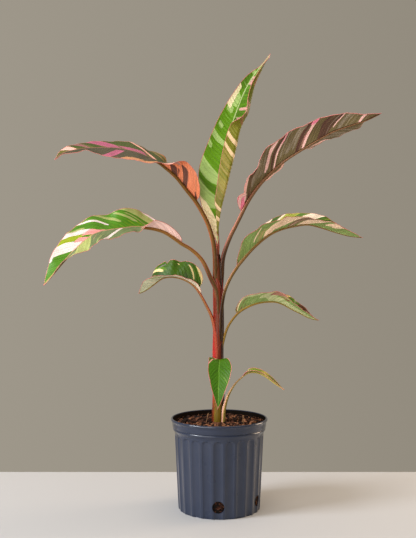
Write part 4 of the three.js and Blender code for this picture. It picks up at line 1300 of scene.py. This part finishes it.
LEAVES: tuple[Leaf, ...] = (
    Leaf(
        name="leaf_top",
        slot="blade_green_cream",
        stalk=((-0.003, 0.001, 0.4), (-0.003, 0.001, 0.419)),
        rib=(
            (-0.002, 0.001, 0.446), (-0.003, 0.002, 0.487), (-0.001, 0.003, 0.528),
            (0.003, 0.003, 0.568), (0.011, 0.002, 0.61), (0.02, 0.001, 0.648), (0.028, -0.001, 0.672),
            (0.038, -0.003, 0.698), (0.051, -0.008, 0.724), (0.067, -0.014, 0.746),
            (0.086, -0.02, 0.769),
        ),
        thick=(0.004, 0.003),
        wave=(0.0006, 4, 0),
        far=Half(
            0.039, 0, 0.36, 1.25, 0.38, 1.1,
            turns=((0, 20, 20), (0.3, 5, 15), (0.6, 0, 15), (1, 10, 20)),
            tears=((0.95, 0.9, 0.06),),
        ),
        near=Half(
            0.043, 0, 0.5, 1.5, 0.5, 1.6,
            turns=(
                (0, 172, -30, 0.3), (0.17, 180, -20, 0.34), (0.3, 190, -10, 0.43), (0.5, 190, 0, 0.44),
                (0.6, 190, 5, 0.46), (0.65, 185, 60, 0.5), (0.69, 180, 60, 0.6), (0.8, 178, 30, 0.6),
                (0.9, 175, 40, 0.55), (1, 170, 60, 0.5),
            ),
            span=0.4,
        ),
        upper=BladeSkin(
            "blade_top_upper", green="#629412", pale="#aac874", cream="#fff0c0", pink="#dba79e",
            deep="#548010", dull_shade="#8e7458",
        ),
        under=BladeSkin(
            "blade_top_under", green="#7c7a20", pale="#998a42", cream="#edcb9d", pink="#9a6c4c",
            deep="#5f6418",
        ),
        skin=StalkSkin("stalk_top", "#65481f", "#8f6a30", "#c95a50"),
        patches={
            Tone.DEEP: ((0.25, 0.285, -1, 0), (0.775, 0.87, -1, 0), (0.58, 0.9, 0, 1, 0.3)),
            Tone.DULL: ((0.9, 1.1, -1, 1, 0.8),),
            Tone.PALE: (
                (0.165, 0.25, -1, 0, 0.44), (0.285, 0.36, -1, 0, 0.46), (0.43, 0.45, -1, -0.75),
                (0.485, 0.515, -1, -0.1), (0.555, 0.575, -0.85, -0.5), (0.645, 0.68, -0.8, -0.3),
                (0.68, 0.76, -0.6, -0.1, 0.5), (0.87, 0.89, -1, 0, 0.36), (0.2, 0.42, 0.3, 1, 0.24),
            ),
            Tone.CREAM: (
                (-0.2, 0.18, -1, 0, 0.85), (0.66, 0.785, -1, -0.55), (0.47, 0.495, 0.4, 1),
                (0.415, 0.435, 0.35, 1), (0.16, 0.175, 0.3, 1), (0.115, 0.13, 0.3, 1),
            ),
            Tone.PINK: (
                (0.675, 0.695, 0.1, 1), (0.632, 0.645, 0.1, 1), (0.8, 0.88, 0, 0.8, 0.4),
                (0.585, 0.6, 0, 1, 0.4),
            ),
        },
        vein_lean=0.45,
    ),
    Leaf(
        name="leaf_upper_left",
        slot="blade_pink",
        stalk=(
            (-0.004, -0.003, 0.34), (-0.006, -0.005, 0.391), (-0.008, -0.008, 0.446),
            (-0.017, -0.012, 0.483), (-0.03, -0.015, 0.51),
        ),
        rib=(
            (-0.038, -0.017, 0.523), (-0.053, -0.022, 0.54), (-0.071, -0.028, 0.561),
            (-0.087, -0.034, 0.575), (-0.099, -0.039, 0.584), (-0.117, -0.045, 0.592),
            (-0.136, -0.05, 0.599), (-0.169, -0.058, 0.605), (-0.203, -0.066, 0.604),
            (-0.233, -0.072, 0.6), (-0.254, -0.077, 0.593), (-0.266, -0.08, 0.582),
        ),
        thick=(0.0048, 0.0036),
        wave=(0.0012, 5, 0.6),
        far=Half(
            0.034, 0, 0.16, 0.5, 0.5, 2.4,
            turns=(
                (0, -90, -90), (0.22, -92, -92), (0.3, -66, -68), (0.4, -64, -68), (0.48, -58, -66),
                (0.6, -62, -62), (0.75, -58, -64), (0.9, -45, -50), (1, -45, -45),
            ),
        ),
        near=Half(
            0.03, 0, 0.16, 0.6, 0.5, 2,
            turns=(
                (0, 34, 44), (0.08, 22, 36), (0.2, 8, 24), (0.25, 20, 60), (0.29, 50, 100),
                (0.34, 84, 108), (0.42, 115, 117), (0.47, 117, 118), (0.53, 126, 127), (0.6, 134, 132),
                (0.68, 130, 128), (0.74, 126, 124), (0.8, 110, 110), (0.88, 118, 118), (1, 114, 114),
            ),
        ),
        upper=BladeSkin(
            "blade_upper_left_upper", green="#565c22", pale="#c48a60", cream="#f0b4a8", pink="#aa5676",
            deep="#384a0c", dull_shade="#403f2c", rib="#8a5a50",
        ),
        under=BladeSkin(
            "blade_upper_left_under", green="#f08c62", pale="#74705a", cream="#b98e84", pink="#b06a74",
            deep="#6e4234",
        ),
        skin=StalkSkin("stalk_upper_left", "#74521e", "#c4683c", "#cf5a40"),
        patches={
            Tone.DEEP: (
                (0.26, 0.345, -1, 0), (0.38, 0.56, -1, -0.22), (0.68, 0.735, -1, 0),
                (0.79, 0.83, -1, 0), (0.09, 0.14, -0.1, 0.7), (0.16, 0.25, 0, 0.4, 0.4),
                (-0.01, 0.02, -0.1, 0.4),
            ),
            # Painted shade and sheen over the near half, which droops and faces down.
            Tone.DULL: ((0.22, 1.1, 0, 1, 0.8),),
            Tone.PALE: ((0.16, 0.26, -1, -0.2, 0.2), (0.26, 0.46, 0.75, 1, 0.44)),
            Tone.CREAM: ((0.345, 0.38, -1, 0), (0.835, 0.89, -1, 0), (0.15, 0.2, 0.6, 1)),
            Tone.PINK: (
                (0.38, 0.58, -0.3, 0), (0.56, 0.68, -1, 0), (0.735, 0.79, -1, 0, 0.32),
                (0.53, 0.6, 0.2, 1),
            ),
        },
        vein_lean=1.0,
        root_dark=0.5,
    ),
    Leaf(
        name="leaf_mid_left",
        slot="blade_green_cream",
        stalk=(
            (-0.001, -0.004, 0.318), (-0.004, -0.006, 0.368), (-0.014, -0.009, 0.393),
            (-0.028, -0.011, 0.424), (-0.045, -0.014, 0.442),
        ),
        rib=(
            (-0.063, -0.018, 0.453), (-0.078, -0.022, 0.463), (-0.092, -0.026, 0.471),
            (-0.106, -0.03, 0.475), (-0.121, -0.034, 0.477), (-0.143, -0.039, 0.477),
            (-0.164, -0.045, 0.474), (-0.184, -0.051, 0.471), (-0.2, -0.057, 0.467),
            (-0.213, -0.063, 0.459), (-0.223, -0.069, 0.45), (-0.237, -0.078, 0.435),
            (-0.251, -0.09, 0.417), (-0.266, -0.099, 0.397), (-0.278, -0.108, 0.381),
        ),
        thick=(0.005, 0.0034),
        wave=(0.0014, 6, 0.3),
        far=Half(
            0.036, 0.15, 0.2, 0.6, 0.52, 2.3,
            turns=(
                (0, -55, -20), (0.2, -45, -35), (0.3, -28, -30), (0.38, -20, -26), (0.46, -38, -46),
                (0.54, -30, -34), (0.62, -32, -32), (0.7, -26, -26), (0.85, -18, -20), (1, -40, -40),
            ),
        ),
        near=Half(
            0.031, 0, 0.5, 0.6, 0.5, 1.9,
            turns=(
                (0, 35, 50), (0.1, 42, 60), (0.2, 54, 72), (0.25, 76, 92), (0.29, 104, 112),
                (0.4, 114, 112), (0.5, 126, 124), (0.58, 124, 124), (0.64, 130, 130), (0.69, 138, 136),
                (0.75, 118, 116), (0.8, 104, 104), (0.88, 96, 96), (1, 110, 110),
            ),
        ),
        upper=BladeSkin(
            "blade_mid_left_upper", green="#4c8018", pale="#a2aa64", cream="#e6d6d0", pink="#e89690",
            deep="#92a31c", rib="#c08a70",
        ),
        under=BladeSkin(
            "blade_mid_left_under", green="#727e54", pale="#c7b78c", cream="#e6d2b4", pink="#ffd6cb",
            deep="#5c6c46",
        ),
        skin=StalkSkin("stalk_mid_left", "#8a6228", "#e07a60", "#e08070"),
        patches={
            Tone.DEEP: ((0.557, 0.62, -1, -0.3), (0.205, 0.485, -0.35, 0, 0.1)),
            # Painted shade and sheen over the near half, which droops and faces down.
            Tone.DULL: ((0.15, 1.1, 0.02, 1, 0.8),),
            Tone.PALE: (
                (0.055, 0.205, -1, -0.25, 0.38), (0.215, 0.23, -0.8, -0.3, 0.3),
                (0.25, 0.27, -0.9, -0.3), (0.325, 0.35, -1, -0.35), (0.485, 0.505, -1, -0.6),
                (0.555, 0.715, 0, 1), (0.815, 1.1, 0, 1),
            ),
            Tone.CREAM: (
                (0.055, 0.12, -1, -0.5), (0.41, 0.43, -1, -0.3), (0.505, 0.557, -1, -0.3),
                (0.62, 0.745, -1, 0), (0.745, 0.785, -1, -0.8), (0.375, 0.405, 0, 1),
            ),
            Tone.PINK: (
                (0.455, 0.575, -0.12, 0.02, 0.36), (0.505, 0.58, -0.34, 0), (0.585, 0.645, -0.34, 0),
                (-0.3, 0.15, 0, 1, 0.8, 0), (0.14, 0.25, 0, 0.3, 0.8, 0), (0.14, 0.2, 0.3, 0.7, 0.8, 0),
            ),
        },
        vein_lean=1.1,
        root_dark=0.7,
    ),
    Leaf(
        name="leaf_lower_left",
        slot="blade_green",
        stalk=(
            (-0.002, -0.005, 0.235), (-0.006, -0.006, 0.295), (-0.011, -0.004, 0.324),
            (-0.021, -0.002, 0.347),
        ),
        rib=(
            (-0.031, 0, 0.366), (-0.041, 0.003, 0.378), (-0.052, 0.007, 0.386), (-0.067, 0.012, 0.392),
            (-0.084, 0.018, 0.394), (-0.099, 0.025, 0.391), (-0.113, 0.03, 0.381),
            (-0.128, 0.034, 0.37), (-0.141, 0.038, 0.364),
        ),
        thick=(0.004, 0.0024),
        wave=(0.001, 4, 0.1),
        far=Half(
            0.032, 0.07, 0.26, 0.5, 0.56, 2.4,
            turns=(
                (0, -20, -10), (0.2, -4, -14), (0.34, -10, -22), (0.42, -22, -38), (0.48, -14, -32),
                (0.6, -28, -46), (0.7, -44, -58), (0.8, -55, -75), (1, -50, -60),
            ),
            tears=((0.545, 0.18, 0.016),),
        ),
        near=Half(
            0.024, 0, 0.22, 0.5, 0.6, 2.8,
            turns=(
                (0, 70, 70), (0.3, 84, 84), (0.55, 82, 80), (0.68, 62, 56), (0.8, 44, 50), (1, 50, 50),
            ),
        ),
        upper=BladeSkin(
            "blade_lower_left_upper", green="#406410", pale="#5c8414", cream="#ead79a", pink="#e2ac94",
            deep="#3a5618",
        ),
        under=BladeSkin(
            "blade_lower_left_under", green="#c8caa8", pale="#d0ccaa", cream="#fae6cc", pink="#ecb098",
            deep="#a8b06c",
        ),
        skin=StalkSkin("stalk_lower_left", "#8e6834", "#a83828", "#d86048"),
        patches={
            Tone.DEEP: ((0.22, 0.32, -0.7, 0, 0.24), (0.55, 0.65, -1, 0), (0.47, 0.59, 0.3, 1, 0.24)),
            Tone.PALE: ((0.02, 0.04, -0.8, -0.5, 0.3), (0.475, 0.515, -1, -0.45)),
            Tone.CREAM: (
                (-0.4, 0.06, -1, -0.75), (0.145, 0.16, -0.85, -0.25), (0.27, 0.29, -0.85, -0.75),
                (0.515, 0.55, -1, -0.4), (-0.1, 0.47, 0, 1, 0.36),
            ),
            Tone.PINK: ((0, 0.47, 0.7, 1, 0.24),),
        },
        holes=((0.46, -0.0245, 0.0065, 0.0016),),
        vein_lean=0.6,
        root_flush_and_light=0.9,
    ),
    Leaf(
        name="leaf_upper_right",
        slot="blade_maroon",
        stalk=(
            (0, 0, 0.35), (0.004, 0.001, 0.397), (0.006, 0, 0.427), (0.016, -0.003, 0.46),
            (0.026, -0.007, 0.482),
        ),
        rib=(
            (0.037, -0.011, 0.505), (0.043, -0.013, 0.516), (0.051, -0.016, 0.529),
            (0.062, -0.02, 0.544), (0.079, -0.027, 0.563), (0.096, -0.036, 0.578),
            (0.112, -0.043, 0.59), (0.129, -0.051, 0.6), (0.157, -0.062, 0.616), (0.182, -0.071, 0.629),
            (0.207, -0.079, 0.637), (0.232, -0.087, 0.644), (0.257, -0.093, 0.655),
        ),
        thick=(0.0046, 0.0034),
        wave=(0.0014, 6, 0.45),
        far=Half(
            0.036, 0, 0.3, 0.7, 0.45, 2,
            turns=(
                (0, -80, -80), (0.18, -92, -92), (0.26, -98, -102), (0.33, -98, -104), (0.38, -85, -88),
                (0.48, -88, -92), (0.6, -96, -102), (0.78, -106, -112), (0.86, -108, -112),
                (0.9, -85, -80), (1, -80, -80),
            ),
        ),
        near=Half(
            0.038, 0, 0.36, 0.7, 0.45, 2.2,
            turns=(
                (0, 25, 40), (0.06, 34, 52), (0.12, 46, 64), (0.2, 44, 60), (0.27, 50, 64),
                (0.32, 40, 56), (0.37, 18, 38), (0.46, 24, 43), (0.54, 14, 35), (0.62, 20, 46),
                (0.7, 20, 46), (0.8, 20, 42), (1, 25, 50),
            ),
            tears=((0.05, -0.35, 0.04), (0.105, 0.16, 0.015)),
        ),
        upper=BladeSkin(
            "blade_upper_right_upper", green="#4a5e28", pale="#7a8a4c", cream="#d8a898", pink="#ea7c90",
            deep="#5a3c2c",
        ),
        under=BladeSkin(
            "blade_upper_right_under", green="#6e5e3a", pale="#90806a", cream="#ffc8be", pink="#ff8ca6",
            deep="#5c3c2e", rib="#3a1c0e", rib_width=0.0016,
        ),
        skin=StalkSkin("stalk_upper_right", "#74502e", "#d88a70", "#c0586a"),
        patches={
            Tone.DEEP: (
                (0.06, 0.1, 0, 1, 0.2), (0.28, 0.3, 0, 1, 0.4), (0.455, 0.495, 0, 1, 0.4),
                (0.595, 0.695, 0, 1, 0.3),
            ),
            Tone.PALE: (
                (0.095, 0.205, 0.3, 1, 0.24), (0.335, 0.455, 0.2, 1, 0.24), (0.705, 0.855, 0, 1, 0.2),
                (0.355, 0.835, -1, 0, 0.24),
            ),
            Tone.CREAM: (
                (-0.3, 0.045, 0.5, 1, 0.9, 0), (-0.3, 0.06, 0.15, 0.55, 0.9, 0),
                (0.21, 0.265, 0.25, 1, 0.3), (0.306, 0.322, 0, 1), (0.505, 0.53, 0, 1),
                (0.692, 0.705, 0.2, 1, 0.36), (0.855, 0.88, 0, 1, 0.4), (-0.015, 0.295, -1, -0.7, 0.44),
                (0.355, 0.535, -1, -0.6, 0.34),
            ),
            Tone.PINK: (
                (-0.3, -0.034, 0.5, 1, 0.9, 0), (-0.3, 0.04, -0.3, 0.5, 0.9, 0),
                (0.303, 0.327, 0.7, 1, 0.3), (0.49, 0.535, 0.85, 1),
            ),
        },
        vein_lean=1.2,
        root_dark=0.7,
    ),
    Leaf(
        name="leaf_mid_right",
        slot="blade_green_cream",
        stalk=(
            (0.001, -0.005, 0.285), (0.003, -0.006, 0.337), (0.008, -0.003, 0.37),
            (0.018, 0.002, 0.395),
        ),
        rib=(
            (0.03, 0.008, 0.414), (0.04, 0.012, 0.425), (0.049, 0.016, 0.435), (0.061, 0.022, 0.447),
            (0.075, 0.028, 0.459), (0.093, 0.037, 0.471), (0.113, 0.046, 0.479), (0.135, 0.054, 0.484),
            (0.159, 0.062, 0.487), (0.183, 0.069, 0.482), (0.209, 0.075, 0.474), (0.236, 0.081, 0.467),
            (0.262, 0.086, 0.464),
        ),
        thick=(0.004, 0.003),
        wave=(0.0012, 5, 0.7),
        far=Half(
            0.032, 0, 0.36, 0.7, 0.5, 2.2,
            turns=(
                (0, -60, -70), (0.15, -60, -72), (0.26, -56, -70), (0.31, -60, -72), (0.365, -44, -60),
                (0.42, -33, -52), (0.6, -40, -50), (0.75, -30, -40), (0.9, -40, -40), (1, -50, -50),
            ),
        ),
        near=Half(
            0.03, 0, 0.36, 0.7, 0.5, 2.2,
            turns=(
                (0, 35, 40), (0.08, 18, 34), (0.15, 14, 28), (0.21, 34, 48), (0.27, 38, 52),
                (0.32, 52, 66), (0.37, 58, 70), (0.42, 50, 60), (0.52, 60, 74), (0.58, 68, 82),
                (0.64, 62, 76), (0.8, 45, 65), (0.9, 45, 55), (1, 45, 60),
            ),
        ),
        upper=BladeSkin(
            "blade_mid_right_upper", green="#4f7c20", pale="#a3b040", cream="#f6e8d4", pink="#e8a898",
            deep="#3a6416",
        ),
        under=BladeSkin(
            "blade_mid_right_under", green="#88a058", pale="#b4a868", cream="#ffdcba", pink="#d89078",
            deep="#8c6e54",
        ),
        skin=StalkSkin("stalk_mid_right", "#86642e", "#f0c4ac", "#d07868"),
        patches={
            Tone.DEEP: (
                (0.43, 0.5, 0, 1), (0.62, 0.68, 0, 1, 0.24), (0.27, 0.33, -1, 0), (0.6, 0.76, -1, 0),
            ),
            Tone.PALE: ((0.172, 0.25, 0, 0.6, 0.3), (0.76, 1.1, 0, 1, 0.14), (0.35, 0.45, -1, 0)),
            Tone.CREAM: (
                (-0.3, -0.02, -1, 1, 0.4), (0.16, 0.172, 0.2, 0.8), (0.25, 0.43, 0.2, 1, 0.55),
                (0.24, 0.34, 0, 0.4), (0.5, 0.62, 0, 1), (0.66, 0.76, 0.35, 1, 0.44),
                (0.2, 0.27, -1, 0), (0.33, 0.35, -1, 0), (0.505, 0.6, -1, 0),
            ),
            Tone.PINK: ((0.26, 0.3, 0.9, 1, 0.4),),
        },
        vein_lean=1.0,
        root_dark=0.92,
    ),
    Leaf(
        name="leaf_lower_right",
        slot="blade_green",
        stalk=(
            (0, -0.004, 0.215), (0.002, -0.004, 0.261), (0.006, -0.002, 0.284), (0.013, 0.001, 0.308),
            (0.022, 0.004, 0.323),
        ),
        rib=(
            (0.03, 0.008, 0.332), (0.039, 0.012, 0.338), (0.056, 0.017, 0.346), (0.072, 0.022, 0.35),
            (0.087, 0.028, 0.351), (0.101, 0.034, 0.35), (0.114, 0.04, 0.345), (0.13, 0.045, 0.336),
            (0.146, 0.05, 0.328), (0.162, 0.054, 0.32), (0.179, 0.059, 0.316),
        ),
        thick=(0.0032, 0.0022),
        wave=(0.0009, 5, 0.2),
        far=Half(
            0.021, 0, 0.22, 0.6, 0.5, 2.2,
            turns=(
                (0, -50, -60), (0.25, -50, -62), (0.45, -38, -55), (0.6, -15, -45), (0.8, -20, -35),
                (1, -40, -50),
            ),
        ),
        near=Half(
            0.021, 0, 0.22, 0.6, 0.5, 2,
            turns=(
                (0, 30, 30), (0.08, 18, 34), (0.15, 12, 36), (0.22, 32, 50), (0.33, 28, 52),
                (0.42, 20, 46), (0.5, 30, 55), (0.6, 50, 65), (0.8, 55, 65), (1, 45, 60),
            ),
        ),
        upper=BladeSkin(
            "blade_lower_right_upper", green="#5c8426", pale="#8aa43c", cream="#e8d080", pink="#d8a090",
            deep="#5c3a1a",
        ),
        under=BladeSkin(
            "blade_lower_right_under", green="#8aa45a", pale="#c4ca92", cream="#ecd8a8", pink="#b07e68",
            deep="#8e5440",
        ),
        skin=StalkSkin("stalk_lower_right", "#a08038", "#c09848", "#c87848"),
        patches={
            Tone.DEEP: (
                (0.424, 0.444, 0.3, 0.8), (0.454, 0.474, 0.6, 0.8), (0.644, 1, -1, -0.5),
                (0, 0.164, 0, 0.25, 0.12),
            ),
            Tone.PALE: (
                (0.224, 1.1, 0, 0.5, 0.36), (0.204, 0.384, 0.4, 1), (0.004, 0.164, 0.75, 1, 0.4),
            ),
            Tone.CREAM: ((-0.016, 0.004, 0.1, 1), (-0.3, -0.096, 0.6, 1), (0.434, 0.474, -1, -0.3)),
            Tone.PINK: ((0.294, 0.404, 0.6, 1), (0.554, 0.574, 0.6, 0.9)),
        },
        vein_lean=0.9,
    ),
    Leaf(
        name="leaf_front",
        slot="blade_green",
        stalk=((-0.001, -0.004, 0.205), (-0.001, -0.009, 0.232), (-0.001, -0.013, 0.246)),
        rib=(
            (0, -0.016, 0.254), (0, -0.025, 0.2515), (-0.001, -0.033, 0.24), (-0.001, -0.039, 0.226),
            (-0.002, -0.043, 0.21), (-0.002, -0.045, 0.194), (-0.003, -0.044, 0.175),
        ),
        thick=(0.003, 0.002),
        wave=(0.0005, 3, 0.2),
        far=Half(
            0.0185, -0.05, 0.08, 0.5, 0.3, 1.3,
            turns=((0, 22, 8), (0.1, 18, 4), (0.2, 10, 8), (1, 10, 10)),
        ),
        near=Half(
            0.0215, -0.01, 0.08, 0.5, 0.3, 1.2,
            turns=((0, 160, 172), (0.1, 168, 172), (0.2, 172, 166), (0.3, 172, 162), (1, 170, 170)),
            tears=((0.0, 0.4, 0.12),),
        ),
        upper=BladeSkin(
            "blade_front_upper", green="#3d6a0a", pale="#94b24e", cream="#cfd890", pink="#d89a86",
            deep="#34580a", rib="#5c8a28",
        ),
        under=BladeSkin(
            "blade_front_under", green="#86a866", pale="#a0b880", cream="#cfd8a0", pink="#d09a88",
            deep="#6c8a4c",
        ),
        skin=StalkSkin("stalk_front", "#86602e", "#a87a3c", "#c06040"),
        patches={
            Tone.DEEP: ((-0.3, 1, -1, 0, 0.14),),
            Tone.PALE: ((0.5, 1, -0.06, 0.07, 0.42),),
            Tone.CREAM: ((0.02, 0.05, 0.75, 0.9, 0.4),),
            Tone.PINK: ((-0.06, -0.035, -1, -0.2),),
        },
        vein_lean=0.9,
    ),
    Leaf(
        name="leaf_ground",
        slot="blade_green",
        stalk=(
            (0.003, -0.004, 0.112), (0.006, -0.006, 0.137), (0.007, -0.009, 0.165),
            (0.013, -0.012, 0.19), (0.02, -0.015, 0.205), (0.029, -0.018, 0.218),
        ),
        rib=(
            (0.039, -0.022, 0.228), (0.047, -0.024, 0.233), (0.056, -0.027, 0.235),
            (0.068, -0.031, 0.233), (0.079, -0.035, 0.227), (0.093, -0.041, 0.217),
            (0.107, -0.047, 0.208),
        ),
        thick=(0.005, 0.0013),
        wave=(0.0004, 3, 0),
        far=Half(
            0.0084, 0.1, 0.16, 0.5, 0.5, 2,
            turns=((0, -30, -30), (0.3, -44, -40), (0.5, -52, -44), (1, -60, -60)),
        ),
        near=Half(
            0.009, 0, 0.3, 0.5, 0.5, 2,
            turns=((0, 70, 60), (0.5, 75, 65), (1, 80, 80)),
        ),
        upper=BladeSkin(
            "blade_ground_upper", green="#76862c", pale="#a8a040", cream="#dcd69a", pink="#d08858",
            deep="#5c701e",
        ),
        under=BladeSkin(
            "blade_ground_under", green="#949a48", pale="#b0a05a", cream="#dcd6a0", pink="#d88a58",
            deep="#80843c",
        ),
        skin=StalkSkin("stalk_ground", "#b09a44", "#f4ccbc", "#e8a090"),
        patches={
            Tone.DEEP: ((0.5, 1, -1, 0, 0.2),),
            Tone.PALE: ((0.35, 0.45, -1, 0), (0.3, 0.6, 0, 1, 0.3)),
            Tone.PINK: ((-0.3, 0.06, -1, 1),),
        },
        vein_lean=0.8,
    ),
)

STEM = Pseudostem(
    axis=(
        (-0.002, 0, 0.101, 0.0104), (-0.002, 0, 0.145, 0.0102), (-0.001, 0, 0.2, 0.0094),
        (-0.002, 0, 0.26, 0.0088), (-0.001, 0, 0.32, 0.0086), (-0.002, -0.001, 0.372, 0.0082),
        (-0.003, -0.002, 0.405, 0.0072), (-0.003, 0, 0.432, 0.0046),
    ),
    sheaths=(
        Sheath(
            ((0.30, 60), (0.371, 41), (0.383, 19), (0.394, -27), (0.406, -80)),
            left=True, flush=0.35, dark=0.25,
        ),
        Sheath(
            ((0.318, -51), (0.3275, -41), (0.339, -18), (0.352, 21), (0.364, 41), (0.39, 80)),
            left=False,
        ),
        Sheath(
            ((0.10, 20), (0.259, -22), (0.276, -15), (0.304, -34), (0.318, -51), (0.334, -85)),
            left=True, flush=1.0, dark=0.0,
        ),
        Sheath(
            ((0.10, -60), (0.259, -22), (0.268, -12), (0.2767, 8), (0.2845, 55), (0.30, 85)),
            left=False,
        ),
    ),
    skin=StalkSkin("stem_skin", "#603616", "#b42c28", "#d0504a"),
)


def main() -> None:
    """Builds the plant in its pot, piece by piece, and reports each."""
    logging.basicConfig(level=logging.INFO, format="%(message)s")
    Studio().set_up()
    pot = NurseryPot()
    finish(pot.model(), "pot_plastic", "pot")
    potting = PottingMix(pot)
    finish(potting.model_bed(), "potting_mix", "soil")
    finish(potting.model_chips(), "potting_mix", "soil")
    finish(potting.model_sticks(), "potting_mix", "soil")
    finish(STEM.model(), "stem_skin", "stem")
    for leaf in LEAVES:
        finish(leaf.model_stalk(), "stem_skin", "stem")
        finish(leaf.model_blade(), leaf.slot, leaf.name)


if __name__ == "__main__":
    main()
